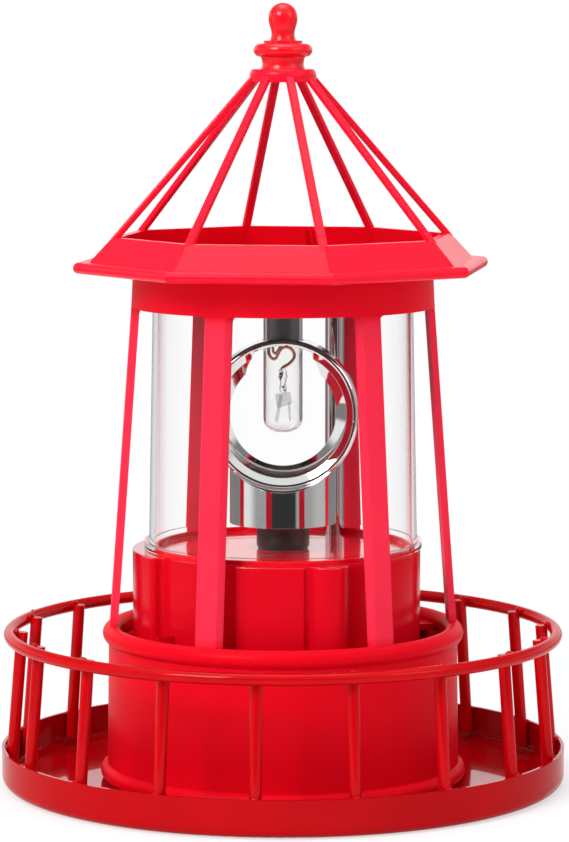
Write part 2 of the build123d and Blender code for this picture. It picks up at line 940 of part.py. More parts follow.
# Clear window tube with a foot flange on the rim of the base
with BuildPart() as clear_tube:
    revolve(
        turned_outline(
            (tube_foot_radius - tube_wall, tube_z),
            (tube_foot_radius, tube_z),
            (tube_foot_radius, rim_z + end_play),
            (tube_foot_radius + tube_flange_proud, rim_z + end_play),
            (tube_foot_radius + tube_flange_proud, rim_z + end_play + tube_flange_thickness),
            (tube_foot_radius, rim_z + end_play + tube_flange_thickness),
            (tube_top_radius, tube_top_z),
            (tube_top_radius - tube_wall, tube_top_z),
        ),
        axis=Axis.Z,
    )
clear_tube.part.label = "clear_tube"
export_step(clear_tube.part, "parts/clear_tube.step")

# Top cap: plate over the tube, lip inside it, turret for the panel
cap_lip_radius = tube_top_radius - tube_wall - tube_play
with BuildPart() as top_cap:
    revolve(
        turned_outline(
            (0, cap_z),
            (cap_lip_radius - cap_lip_wall, cap_z),
            (cap_lip_radius - cap_lip_wall, cap_z - cap_lip),
            (cap_lip_radius, cap_z - cap_lip),
            (cap_lip_radius, cap_z),
            (tube_top_radius + cap_proud, cap_z),
            (tube_top_radius + cap_proud, cap_top_z),
            (turret_radius, cap_top_z),
            (turret_radius, panel_z + panel_thickness + panel_drop),
            (turret_radius - panel_rim, panel_z + panel_thickness + panel_drop),
            (turret_radius - panel_rim, panel_z),
            (turret_radius - panel_rim - panel_shelf, panel_z),
            (turret_radius - panel_rim - panel_shelf, cap_top_z),
            (0, cap_top_z),
        ),
        axis=Axis.Z,
    )
    with Locations(conduit_spot):
        with Locations((0, 0, cap_z)):
            Cylinder(conduit_radius - conduit_wall, 3 * cap_plate, mode=Mode.SUBTRACT)
            Cylinder(
                conduit_radius + conduit_relief,
                cap_lip,
                align=(Align.CENTER, Align.CENTER, Align.MAX),
                mode=Mode.SUBTRACT,
            )
top_cap.part.label = "top_cap"
export_step(top_cap.part, "parts/top_cap.step")

# Solar panel in the recess of the turret
with BuildPart() as solar_panel:
    with Locations((0, 0, panel_z)):
        Cylinder(
            turret_radius - panel_rim - tube_play,
            panel_thickness,
            align=(Align.CENTER, Align.CENTER, Align.MIN),
        )
    chamfer(solar_panel.edges().group_by(Axis.Z)[-1], length=panel_chamfer)
solar_panel.part.label = "solar_panel"
export_step(solar_panel.part, "parts/solar_panel.step")

# Lamp holder under the cap
with BuildPart() as lamp_socket:
    with Locations((0, 0, cap_z)):
        Cylinder(socket_radius, socket_length, align=(Align.CENTER, Align.CENTER, Align.MAX))
    chamfer(lamp_socket.edges().group_by(Axis.Z)[0], length=socket_chamfer)
lamp_socket.part.label = "lamp_socket"
export_step(lamp_socket.part, "parts/lamp_socket.step")

# Bulb glass: a clear closed-end envelope round the holder
bulb_z = cap_z - bulb_length
bulb_bore = bulb_radius - bulb_wall
inner_corner = bulb_corner - bulb_wall
diagonal = 1 - cos(pi / 4)
with BuildPart() as bulb_glass:
    with BuildSketch(Plane.XZ):
        with BuildLine():
            Polyline(
                (0, bulb_z + bulb_wall),
                (0, bulb_z),
                (bulb_radius - bulb_corner, bulb_z),
            )
            ThreePointArc(
                (bulb_radius - bulb_corner, bulb_z),
                (bulb_radius - bulb_corner * diagonal, bulb_z + bulb_corner * diagonal),
                (bulb_radius, bulb_z + bulb_corner),
            )
            Polyline(
                (bulb_radius, bulb_z + bulb_corner),
                (bulb_radius, cap_z),
                (bulb_bore, cap_z),
                (bulb_bore, bulb_z + bulb_corner),
            )
            ThreePointArc(
                (bulb_bore, bulb_z + bulb_corner),
                (bulb_bore - inner_corner * diagonal, bulb_z + bulb_wall + inner_corner * diagonal),
                (bulb_radius - bulb_corner, bulb_z + bulb_wall),
            )
            Line((bulb_radius - bulb_corner, bulb_z + bulb_wall), (0, bulb_z + bulb_wall))
        make_face()
    revolve(axis=Axis.Z)
bulb_glass.part.label = "bulb_glass"
export_step(bulb_glass.part, "parts/bulb_glass.step")

# Copper lead wires, bent below the holder
socket_z = cap_z - socket_length
with BuildPart() as lead_wires:
    for bends in lead_bends:
        with BuildLine(Plane.XZ) as lead_path:
            FilletPolyline(*[(x, socket_z - share * lead_drop) for x, share in bends], radius=lead_bend)
        with BuildSketch(Plane(origin=lead_path.line @ 0, z_dir=lead_path.line % 0)):
            Circle(lead_wire / 2)
        sweep(path=lead_path.line)
lead_wires.part.label = "lead_wires"
export_step(lead_wires.part, "parts/lead_wires.step")

# Glass bead and stem that hold the filament
stem_bead_z = socket_z - lead_drop - bead_gap
stem_neck_z = stem_bead_z - bead_length
stem_foot_z = stem_neck_z - bulb_neck_length
filament_z = stem_foot_z - bulb_foot_length
with BuildPart() as bulb_stem:
    with BuildSketch(Plane.XZ):
        with BuildLine():
            Polyline(
                (0, stem_bead_z),
                (bead_radius, stem_bead_z),
                (bead_radius, stem_bead_z - bead_length / 3),
                (bulb_neck, stem_neck_z),
                (bulb_neck, stem_foot_z),
                (bulb_foot, stem_foot_z - bulb_foot_length / 2),
                (bulb_foot, filament_z),
                (0, filament_z),
                close=True,
            )
        make_face()
    revolve(axis=Axis.Z)
bulb_stem.part.label = "bulb_stem"
export_step(bulb_stem.part, "parts/bulb_stem.step")

# Filament and its two support wires
filament_tip_z = bulb_z + filament_tip_room
filament_bow_z = (filament_z + 2 * filament_tip_z) / 3
with BuildPart() as filament:
    with BuildLine(Plane.XZ) as filament_path:
        FilletPolyline(
            (-filament_root, filament_z),
            (-filament_bow, filament_bow_z),
            (-filament_span / 2, filament_tip_z),
            (filament_span / 2, filament_tip_z),
            (filament_bow, filament_bow_z),
            (filament_root, filament_z),
            radius=filament_bend,
        )
    with BuildSketch(Plane(origin=filament_path.line @ 0, z_dir=filament_path.line % 0)):
        Circle(filament_wire / 2)
    sweep(path=filament_path.line)
filament.part.label = "filament"
export_step(filament.part, "parts/filament.step")

# Upright conduit for the panel's wires
with BuildPart() as wire_conduit:
    with Locations(conduit_spot):
        with Locations((0, 0, deck_z - conduit_seat)):
            Cylinder(
                conduit_radius,
                cap_z - deck_z + conduit_seat,
                align=(Align.CENTER, Align.CENTER, Align.MIN),
            )
            Cylinder(
                conduit_radius - conduit_wall,
                cap_z - deck_z + conduit_seat,
                align=(Align.CENTER, Align.CENTER, Align.MIN),
                mode=Mode.SUBTRACT,
            )
wire_conduit.part.label = "wire_conduit"
export_step(wire_conduit.part, "parts/wire_conduit.step")

# Two insulated wires from the panel, down the conduit into the base
lead_tail_z = under_deck_z - lead_tail
with BuildPart() as panel_wires:
    with Locations(conduit_spot):
        with Locations((0, 0, lead_tail_z)):
            with GridLocations(2 * lead_core + lead_gap, 0, 2, 1):
                Cylinder(
                    lead_core,
                    cap_top_z + lead_head - lead_tail_z,
                    align=(Align.CENTER, Align.CENTER, Align.MIN),
                )
panel_wires.part.label = "panel_wires"
export_step(panel_wires.part, "parts/panel_wires.step")

# Flanged bearing in the deck
with BuildPart() as deck_bushing:
    revolve(
        turned_outline(
            (shaft_radius + bush_play, under_deck_z - bush_reach),
            (bush_radius, under_deck_z - bush_reach),
            (bush_radius, deck_z),
            (bush_flange, deck_z),
            (bush_flange, deck_z + bush_flange_thickness),
            (shaft_radius + bush_play, deck_z + bush_flange_thickness),
        ),
        axis=Axis.Z,
    )
deck_bushing.part.label = "deck_bushing"
export_step(deck_bushing.part, "parts/deck_bushing.step")

# Black stem with its shaft below and a spigot for the reflector above
with BuildPart() as reflector_hub:
    revolve(
        turned_outline(
            (0, gear_z - shaft_tail),
            (shaft_radius, gear_z - shaft_tail),
            (shaft_radius, stem_z),
            (stem_radius, stem_z),
            (stem_radius, stem_top_z - stem_chamfer),
            (stem_radius - stem_chamfer, stem_top_z),
            (cup_spigot, stem_top_z),
            (cup_spigot, stem_top_z + cup_spigot_length),
            (0, stem_top_z + cup_spigot_length),
        ),
        axis=Axis.Z,
    )
reflector_hub.part.label = "reflector_hub"
export_step(reflector_hub.part, "parts/reflector_hub.step")

# Reflector: a cup scooped to seat a bevelled lens ring, hollowed and pierced at its top for the lamp
ring_bore = ring_radius - ring_wall
lamp_hole = bulb_radius + lamp_room
ring_front = lamp_hole + ring_lip_depth
bezel_inner = ring_radius - bezel_width
bezel_edge = ring_front - bezel_drop
ring_across = Vector(*on_circle(1, ring_turn))
ring_plane = Plane(
    origin=(0, 0, ring_z),
    x_dir=ring_across,
    z_dir=ring_across.cross(Vector(0, 0, 1)),
)
with BuildPart() as lens_ring:
    with BuildSketch(Plane(origin=(0, 0, ring_z), x_dir=ring_across, z_dir=(0, 0, 1))) as ring_section:
        Polygon(
            (ring_bore, -ring_land / 2),
            (bezel_inner, -bezel_edge),
            (ring_radius, -ring_front),
            (ring_radius, ring_front),
            (bezel_inner, bezel_edge),
            (ring_bore, ring_land / 2),
            align=None,
        )
        fillet(ring_section.vertices().group_by(Axis.X)[-1], radius=ring_edge_round)
    revolve(axis=Axis((0, 0, ring_z), ring_plane.z_dir))
with BuildPart() as lamp_hollow:
    with Locations((0, 0, ring_z)):
        Cylinder(hollow_radius, ring_radius, align=(Align.CENTER, Align.CENTER, Align.MIN))
    with BuildSketch(ring_plane):
        Circle(ring_radius - ring_lip_wall)
    extrude(amount=ring_radius, both=True, mode=Mode.INTERSECT)
with BuildPart() as reflector:
    with Locations((0, 0, stem_top_z)):
        Cylinder(cup_radius, ring_rise, align=(Align.CENTER, Align.CENTER, Align.MIN))
    with BuildSketch(ring_plane):
        Circle(ring_radius - ring_seat)
    extrude(amount=cup_radius + cut_over, both=True, mode=Mode.SUBTRACT)
    add(lens_ring.part)
    add(lamp_hollow.part, mode=Mode.SUBTRACT)
    with Locations((0, 0, ring_z)):
        Cylinder(
            lamp_hole,
            ring_radius + cut_over,
            align=(Align.CENTER, Align.CENTER, Align.MIN),
            mode=Mode.SUBTRACT,
        )
    with Locations((0, 0, stem_top_z)):
        Cylinder(
            cup_spigot + fit_play,
            cup_spigot_length + cup_spigot_room,
            align=(Align.CENTER, Align.CENTER, Align.MIN),
            mode=Mode.SUBTRACT,
        )
reflector.part.label = "reflector"
export_step(reflector.part, "parts/reflector.step")

# Gear train: the stem's gear, the idler and the motor's pinion, in mesh at rest
idler_first = idler_angle + 180 + 180 / idler_teeth
idler_lag = (pinion_bearing - idler_first) % (360 / idler_teeth)
pinion_first = pinion_bearing + 180 + idler_lag * idler_teeth / pinion_teeth + 180 / pinion_teeth

with BuildPart() as output_gear:
    extrude(gear_outline(output_teeth, (0, 0), idler_angle, gear_z), amount=gear_width)
    with Locations((0, 0, gear_z)):
        Cylinder(shaft_radius + press_play, 4 * gear_width, mode=Mode.SUBTRACT)
output_gear.part.label = "output_gear"
export_step(output_gear.part, "parts/output_gear.step")

with BuildPart() as idler_gear:
    extrude(gear_outline(idler_teeth, idler_spot, idler_first, gear_z), amount=gear_width)
    with Locations(idler_spot):
        with Locations((0, 0, gear_z)):
            Cylinder(idler_pin_radius + bush_play, 4 * gear_width, mode=Mode.SUBTRACT)
idler_gear.part.label = "idler_gear"
export_step(idler_gear.part, "parts/idler_gear.step")

with BuildPart() as motor_pinion:
    extrude(gear_outline(pinion_teeth, pinion_spot, pinion_first, gear_z), amount=gear_width)
    with Locations(pinion_spot):
        with Locations((0, 0, gear_z)):
            Cylinder(motor_shaft_radius + press_play, 4 * gear_width, mode=Mode.SUBTRACT)
motor_pinion.part.label = "motor_pinion"
export_step(motor_pinion.part, "parts/motor_pinion.step")

# Steel pin that the idler turns on, fixed in the gear plate
with BuildPart() as idler_pin:
    with Locations(idler_spot):
        with Locations((0, 0, plate_z)):
            Cylinder(
                idler_pin_radius,
                gear_top_z - plate_z + idler_pin_proud,
                align=(Align.CENTER, Align.CENTER, Align.MIN),
            )
idler_pin.part.label = "idler_pin"
export_step(idler_pin.part, "parts/idler_pin.step")

# Motor shaft
with BuildPart() as motor_shaft:
    with Locations(pinion_spot):
        with Locations((0, 0, motor_z + motor_height / 2)):
            Cylinder(
                motor_shaft_radius,
                gear_top_z - motor_z - motor_height / 2,
                align=(Align.CENTER, Align.CENTER, Align.MIN),
            )
motor_shaft.part.label = "motor_shaft"
export_step(motor_shaft.part, "parts/motor_shaft.step")

# Motor can, pushed into the collar under the gear plate
with BuildPart() as drive_motor:
    with Locations(pinion_spot):
        with Locations((0, 0, motor_z)):
            Cylinder(motor_radius, motor_height, align=(Align.CENTER, Align.CENTER, Align.MIN))
        with Locations((0, 0, motor_z + motor_height)):
            Cylinder(
                motor_shaft_radius + bush_play,
                motor_height / 2 + end_play,
                align=(Align.CENTER, Align.CENTER, Align.MAX),
                mode=Mode.SUBTRACT,
            )
drive_motor.part.label = "drive_motor"
export_step(drive_motor.part, "parts/drive_motor.step")

# Gear plate on bosses under the deck
with BuildPart() as gear_plate:
    with Locations((0, 0, plate_z)):
        Cylinder(plate_radius, plate_thickness, align=(Align.CENTER, Align.CENTER, Align.MIN))
        with PolarLocations(plate_screw_circle, plate_screw_count, plate_screw_angle):
            Cylinder(screw_radius + screw_clear, 4 * plate_thickness, mode=Mode.SUBTRACT)
        with Locations(pinion_spot):
            Cylinder(
                motor_radius + motor_collar_wall,
                motor_collar_height,
                align=(Align.CENTER, Align.CENTER, Align.MAX),
            )
            Cylinder(
                motor_radius + fit_play,
                motor_collar_height,
                align=(Align.CENTER, Align.CENTER, Align.MAX),
                mode=Mode.SUBTRACT,
            )
            Cylinder(motor_shaft_radius + motor_nose_clear, 4 * plate_thickness, mode=Mode.SUBTRACT)
        with Locations(idler_spot):
            Cylinder(idler_pin_radius + press_play, 4 * plate_thickness, mode=Mode.SUBTRACT)
        Cylinder(shaft_radius + shaft_clear, 4 * plate_thickness, mode=Mode.SUBTRACT)
gear_plate.part.label = "gear_plate"
export_step(gear_plate.part, "parts/gear_plate.step")

# Screws up through the gear plate
plate_screw = pan_screw(plate_thickness + plate_boss_height - boss_floor - screw_room)
with BuildPart() as plate_screws:
    with PolarLocations(plate_screw_circle, plate_screw_count, plate_screw_angle):
        with Locations(Location((0, 0, plate_z), (180, 0, 0))):
            add(plate_screw)
plate_screws.part.label = "plate_screws"
export_step(plate_screws.part, "parts/plate_screws.step")

# Bottom cover with the battery box, the switch slot and the board's standoffs
box_height = 2 * (cell_radius + cell_play)
door_length = box_length + 2 * door_ledge + door_ear
door_width = box_width + 2 * door_ledge
door_x = door_ear / 2
door_screw_x = box_length / 2 + door_ledge + door_ear / 2
with BuildPart() as bottom_cover:
    extrude(soft_module_outline(cover_z), amount=cover_thickness)
    with Locations((0, cell_offset, base_z)):
        Box(
            box_length + 2 * box_wall,
            box_width + 2 * box_wall,
            box_height + box_wall,
            align=(Align.CENTER, Align.CENTER, Align.MIN),
        )
        Box(
            box_length,
            box_width,
            box_height,
            align=(Align.CENTER, Align.CENTER, Align.MIN),
            mode=Mode.SUBTRACT,
        )
        Box(
            box_length,
            box_width,
            4 * cover_thickness,
            mode=Mode.SUBTRACT,
        )
    with Locations((door_x, cell_offset, cover_z)):
        Box(
            door_length + 2 * door_play,
            door_width + 2 * door_play,
            door_thickness,
            align=(Align.CENTER, Align.CENTER, Align.MIN),
            mode=Mode.SUBTRACT,
        )
    with Locations((door_screw_x, cell_offset, base_z)):
        Cylinder(boss_radius, screw_grip, align=(Align.CENTER, Align.CENTER, Align.MIN))
        Cylinder(screw_radius + screw_play, 2 * (screw_grip - boss_floor), mode=Mode.SUBTRACT)
    with Locations((0, 0, cover_z)):
        with PolarLocations(cover_screw_circle, cover_screw_count, cover_screw_angle):
            Cylinder(screw_radius + screw_clear, 4 * cover_thickness, mode=Mode.SUBTRACT)
    with Locations((board_x, board_y, base_z)):
        with GridLocations(
            board_width - 2 * standoff_radius, board_length - 2 * standoff_radius, 2, 2
        ):
            Cylinder(standoff_radius, switch_height, align=(Align.CENTER, Align.CENTER, Align.MIN))
        Box(
            knob_width + knob_travel + 2 * knob_play,
            knob_depth + 2 * knob_play,
            4 * cover_thickness,
            mode=Mode.SUBTRACT,
        )
bottom_cover.part.label = "bottom_cover"
export_step(bottom_cover.part, "parts/bottom_cover.step")

# Screws up through the cover into the base
cover_screw = pan_screw(cover_thickness + cover_boss_height - boss_floor - screw_room)
with BuildPart() as cover_screws:
    with PolarLocations(cover_screw_circle, cover_screw_count, cover_screw_angle):
        with Locations(Location((0, 0, cover_z), (180, 0, 0))):
            add(cover_screw)
cover_screws.part.label = "cover_screws"
export_step(cover_screws.part, "parts/cover_screws.step")

# Battery door in its recess
with BuildPart() as battery_door:
    with Locations((door_x, cell_offset, cover_z)):
        Box(
            door_length,
            door_width,
            door_thickness,
            align=(Align.CENTER, Align.CENTER, Align.MIN),
        )
    with Locations((door_screw_x, cell_offset, cover_z)):
        Cylinder(screw_radius + screw_clear, 4 * door_thickness, mode=Mode.SUBTRACT)
battery_door.part.label = "battery_door"
export_step(battery_door.part, "parts/battery_door.step")

# Screw of the battery door
door_screw_form = pan_screw(cover_thickness + screw_bite)
with BuildPart() as door_screw:
    with Locations(Location((door_screw_x, cell_offset, cover_z), (180, 0, 0))):
        add(door_screw_form)
door_screw.part.label = "door_screw"
export_step(door_screw.part, "parts/door_screw.step")

# One round cell, lying along X
cell_start = -box_length / 2 + contact_room
cell_plane = Plane(origin=(cell_start, cell_offset, cell_z), x_dir=(0, 1, 0), z_dir=(1, 0, 0))
with BuildPart() as battery_cell:
    with BuildSketch(cell_plane):
        Circle(cell_radius)
    extrude(amount=cell_length)
    fillet(battery_cell.edges(), radius=cell_edge)
    with BuildSketch(cell_plane.offset(cell_length)):
        Circle(cell_button_radius)
    extrude(amount=cell_button_length)
battery_cell.part.label = "battery_cell"
export_step(battery_cell.part, "parts/battery_cell.step")

# Two bent contact strips, one at each end of the cell
with BuildPart() as battery_contacts:
    for side in (-1, 1):
        wall_x = side * box_length / 2
        with BuildSketch(Plane.XZ.offset(-cell_offset)):
            with BuildLine():
                Polyline(
                    (wall_x, cell_z - contact_reach),
                    (wall_x, cell_z + contact_reach),
                    (wall_x - side * contact_sheet, cell_z + contact_reach),
                    (wall_x - side * contact_sheet, cell_z + contact_foot),
                    (wall_x - side * (contact_room - contact_slack), cell_z + contact_tip),
                    (wall_x - side * (contact_room - contact_slack), cell_z - contact_tip),
                    (wall_x - side * contact_sheet, cell_z - contact_foot),
                    (wall_x - side * contact_sheet, cell_z - contact_reach),
                    close=True,
                )
            make_face()
        extrude(amount=cell_button_radius, both=True)
battery_contacts.part.label = "battery_contacts"
export_step(battery_contacts.part, "parts/battery_contacts.step")

# Circuit board on the standoffs
with BuildPart() as circuit_board:
    with Locations((board_x, board_y, board_z)):
        Box(
            board_width,
            board_length,
            board_thickness,
            align=(Align.CENTER, Align.CENTER, Align.MIN),
        )
    with Locations((board_x + chip_x, board_y, board_z + board_thickness)):
        Box(chip_length, chip_width, chip_height, align=(Align.CENTER, Align.CENTER, Align.MIN))
    with Locations((board_x + can_x, board_y + can_y, board_z + board_thickness)):
        Cylinder(can_radius, can_height, align=(Align.CENTER, Align.CENTER, Align.MIN))
circuit_board.part.label = "circuit_board"
export_step(circuit_board.part, "parts/circuit_board.step")

# Slide switch under the board; its knob runs in a slot of the body and of the cover
with BuildPart() as switch_body:
    with Locations((board_x, board_y, base_z + switch_lift)):
        Box(
            switch_width,
            switch_depth,
            switch_height - switch_lift,
            align=(Align.CENTER, Align.CENTER, Align.MIN),
        )
        Box(
            knob_width + knob_travel + 2 * knob_play,
            knob_depth + 2 * knob_play,
            switch_height - switch_lift - switch_lid,
            align=(Align.CENTER, Align.CENTER, Align.MIN),
            mode=Mode.SUBTRACT,
        )
switch_body.part.label = "switch_body"
export_step(switch_body.part, "parts/switch_body.step")

with BuildPart() as switch_knob:
    with Locations((board_x - knob_travel / 2, board_y, cover_z - knob_reach)):
        Box(
            knob_width,
            knob_depth,
            knob_reach + cover_thickness + switch_height - switch_lid - knob_play,
            align=(Align.CENTER, Align.CENTER, Align.MIN),
        )
    chamfer(switch_knob.edges().group_by(Axis.Z)[0], length=knob_chamfer)
switch_knob.part.label = "switch_knob"
export_step(switch_knob.part, "parts/switch_knob.step")
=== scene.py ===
from math import cos, pi, radians, sin

import bmesh
import bpy
from mathutils import Matrix, Vector


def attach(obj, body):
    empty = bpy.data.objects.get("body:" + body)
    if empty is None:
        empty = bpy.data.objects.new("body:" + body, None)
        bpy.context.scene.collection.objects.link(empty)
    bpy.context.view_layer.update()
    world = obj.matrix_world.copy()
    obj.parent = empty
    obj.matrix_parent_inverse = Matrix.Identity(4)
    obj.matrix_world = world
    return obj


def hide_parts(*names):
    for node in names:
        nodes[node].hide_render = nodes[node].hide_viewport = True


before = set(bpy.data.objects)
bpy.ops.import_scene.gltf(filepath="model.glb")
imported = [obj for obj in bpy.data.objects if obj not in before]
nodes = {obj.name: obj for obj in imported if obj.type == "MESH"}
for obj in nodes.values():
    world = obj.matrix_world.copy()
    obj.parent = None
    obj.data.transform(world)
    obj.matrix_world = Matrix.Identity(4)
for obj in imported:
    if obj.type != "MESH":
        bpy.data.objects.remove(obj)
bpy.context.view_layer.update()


# Gallery tray: a round dish pressed from steel sheet, its rim turned up, sprayed in red gloss enamel.
# The enamel levels to a mirror on the floor and keeps a faint orange peel on the rim.
def new_group(name, sockets_in, sockets_out):
    """An empty shader group with these named sockets, and its input and output nodes."""
    group = bpy.data.node_groups.new(name, "ShaderNodeTree")
    for label, kind in sockets_in:
        group.interface.new_socket(name=label, in_out="INPUT", socket_type=kind)
    for label, kind in sockets_out:
        group.interface.new_socket(name=label, in_out="OUTPUT", socket_type=kind)
    return group, group.nodes.new("NodeGroupInput"), group.nodes.new("NodeGroupOutput")


skin_outputs = [
    ("Colour", "NodeSocketColor"),
    ("Roughness", "NodeSocketFloat"),
    ("Height", "NodeSocketFloat"),
]


def enamel_group():
    """Sprayed enamel: a slow drift of colour, a gloss that varies, and fine orange peel."""
    group, given, result = new_group(
        "sprayed_enamel",
        [
            ("Colour", "NodeSocketColor"),
            ("Deep Colour", "NodeSocketColor"),
            ("Drift Scale", "NodeSocketFloat"),
            ("Peel Scale", "NodeSocketFloat"),
            ("Roughness", "NodeSocketFloat"),
        ],
        skin_outputs,
    )
    place = group.nodes.new("ShaderNodeTexCoord")
    drift = group.nodes.new("ShaderNodeTexNoise")
    drift.inputs["Detail"].default_value = 3
    peel = group.nodes.new("ShaderNodeTexNoise")
    peel.inputs["Detail"].default_value = 1
    mix = group.nodes.new("ShaderNodeMix")
    mix.data_type = "RGBA"
    spread = group.nodes.new("ShaderNodeMapRange")
    spread.inputs["From Min"].default_value = 0.35
    spread.inputs["From Max"].default_value = 0.65
    rough = group.nodes.new("ShaderNodeMath")
    rough.operation = "MULTIPLY_ADD"
    rough.inputs[1].default_value = 0.08
    link = group.links.new
    link(place.outputs["Object"], drift.inputs["Vector"])
    link(place.outputs["Object"], peel.inputs["Vector"])
    link(given.outputs["Drift Scale"], drift.inputs["Scale"])
    link(given.outputs["Peel Scale"], peel.inputs["Scale"])
    link(drift.outputs["Fac"], spread.inputs["Value"])
    link(spread.outputs["Result"], mix.inputs["Factor"])
    link(given.outputs["Colour"], mix.inputs["A"])
    link(given.outputs["Deep Colour"], mix.inputs["B"])
    link(drift.outputs["Fac"], rough.inputs[0])
    link(given.outputs["Roughness"], rough.inputs[2])
    link(mix.outputs["Result"], result.inputs["Colour"])
    link(rough.outputs["Value"], result.inputs["Roughness"])
    link(peel.outputs["Fac"], result.inputs["Height"])
    return group


sprayed_enamel = enamel_group()


def skinned(name, group, values, peel_depth, edge=0.00025):
    """A material whose colour, roughness and relief come from a skin group, with softened edges."""
    material = bpy.data.materials.new(name)
    material.use_nodes = True
    tree = material.node_tree
    shader = tree.nodes["Principled BSDF"]
    skin = tree.nodes.new("ShaderNodeGroup")
    skin.name = "skin"
    skin.node_tree = group
    for label, value in values.items():
        skin.inputs[label].default_value = value
    soft_edge = tree.nodes.new("ShaderNodeBevel")
    soft_edge.inputs["Radius"].default_value = edge
    bump = tree.nodes.new("ShaderNodeBump")
    bump.name = "relief"
    bump.inputs["Distance"].default_value = peel_depth
    tree.links.new(soft_edge.outputs["Normal"], bump.inputs["Normal"])
    tree.links.new(skin.outputs["Colour"], shader.inputs["Base Color"])
    tree.links.new(skin.outputs["Roughness"], shader.inputs["Roughness"])
    tree.links.new(skin.outputs["Height"], bump.inputs["Height"])
    tree.links.new(bump.outputs["Normal"], shader.inputs["Normal"])
    return material, shader


def cover(node_names, material):
    """The CAD nodes of these names wear this material."""
    for node_name in node_names:
        nodes[node_name].material_slots[0].material = material


tray_enamel, tray_shader = skinned(
    "tray_enamel",
    sprayed_enamel,
    {
        "Colour": (0.45, 0.0008, 0.0036, 1),
        "Deep Colour": (0.39, 0.0006, 0.0030, 1),
        "Drift Scale": 30.0,
        "Peel Scale": 900.0,
        "Roughness": 0.10,
    },
    0.00001,
)
tray_shader.inputs["Specular IOR Level"].default_value = 0.02
tray_tree = tray_enamel.node_tree
tray_place = tray_tree.nodes.new("ShaderNodeTexCoord")
tray_facing = tray_tree.nodes.new("ShaderNodeSeparateXYZ")
tray_level = tray_tree.nodes.new("ShaderNodeMapRange")
tray_level.inputs["From Min"].default_value = 0.90
tray_level.inputs["From Max"].default_value = 0.98
tray_level.inputs["To Min"].default_value = 0.12
tray_level.inputs["To Max"].default_value = 0.75
tray_tree.links.new(tray_place.outputs["Normal"], tray_facing.inputs["Vector"])
tray_tree.links.new(tray_facing.outputs["Z"], tray_level.inputs["Value"])
tray_tree.links.new(tray_level.outputs["Result"], tray_shader.inputs["Coat Weight"])
tray_shader.inputs["Coat Roughness"].default_value = 0.03
cover(["gallery_tray"], tray_enamel)


# Railing: a hoop and upright posts of steel wire, welded together and sprayed with the tray.
# Its red is set a little lighter than the tray's.
rail_enamel, rail_shader = skinned(
    "rail_enamel",
    sprayed_enamel,
    {
        "Colour": (0.53, 0.0010, 0.0042, 1),
        "Deep Colour": (0.46, 0.0008, 0.0034, 1),
        "Drift Scale": 60.0,
        "Peel Scale": 1400.0,
        "Roughness": 0.12,
    },
    0.00001,
)
rail_shader.inputs["Specular IOR Level"].default_value = 0.03
rail_shader.inputs["Coat Weight"].default_value = 0.18
rail_shader.inputs["Coat Roughness"].default_value = 0.04
cover(["railing_ring", "railing_posts"], rail_enamel)


def finish_piece(name, form, material, body):
    """A mesh object made from this form, in this material, that moves with this body."""
    bmesh.ops.remove_doubles(form, verts=form.verts, dist=0.000005)
    bmesh.ops.recalc_face_normals(form, faces=form.faces)
    mesh = bpy.data.meshes.new(name)
    form.to_mesh(mesh)
    form.free()
    mesh.shade_smooth()
    mesh.materials.append(material)
    piece = bpy.data.objects.new(name, mesh)
    bpy.context.scene.collection.objects.link(piece)
    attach(piece, body)
    return piece


def weld_lump(form, bearing, radius, height, size, seed):
    """A lumpy bead of weld, longest along the ring, at this bearing, radius and height."""
    waves_x = 3.1
    waves_y = 2.7
    wave_depth = 0.10
    lump_shape = (0.85, 1.35, 0.75)
    lump = bmesh.ops.create_icosphere(form, subdivisions=2, radius=size)["verts"]
    for vert in lump:
        ripple = sin(vert.co.x * waves_x / size + seed) + sin(vert.co.y * waves_y / size + 2 * seed)
        vert.co *= 1 + wave_depth * ripple
    bmesh.ops.scale(form, vec=lump_shape, verts=lump)
    turn = Matrix.Rotation(bearing, 3, "Z")
    bmesh.ops.rotate(form, cent=(0, 0, 0), matrix=turn, verts=lump)
    bmesh.ops.translate(form, vec=(radius * cos(bearing), radius * sin(bearing), height), verts=lump)


post_count = 18
head_weld_radius = 0.0829
head_weld_height = 0.0476
head_weld_size = 0.0013
foot_weld_radius = 0.0861
foot_weld_height = 0.0112
foot_weld_size = 0.0010
hoop_radius = 0.0848
hoop_height = 0.0465
seam_bearing = radians(154.5)
seam_lumps = 6
seam_reach = 0.0016
seam_size = 0.0007
weld_form = bmesh.new()
for number in range(post_count):
    post_bearing = radians(360 / post_count * number)
    weld_lump(weld_form, post_bearing, head_weld_radius, head_weld_height, head_weld_size, number)
    weld_lump(weld_form, post_bearing, foot_weld_radius, foot_weld_height, foot_weld_size, number + 0.5)
for step in range(seam_lumps):
    around = radians(360 / seam_lumps * step)
    seam_radius = hoop_radius + seam_reach * cos(around)
    seam_height = hoop_height + seam_reach * sin(around)
    weld_lump(weld_form, seam_bearing, seam_radius, seam_height, seam_size, step)
finish_piece("rail_welds", weld_form, rail_enamel, "lantern")
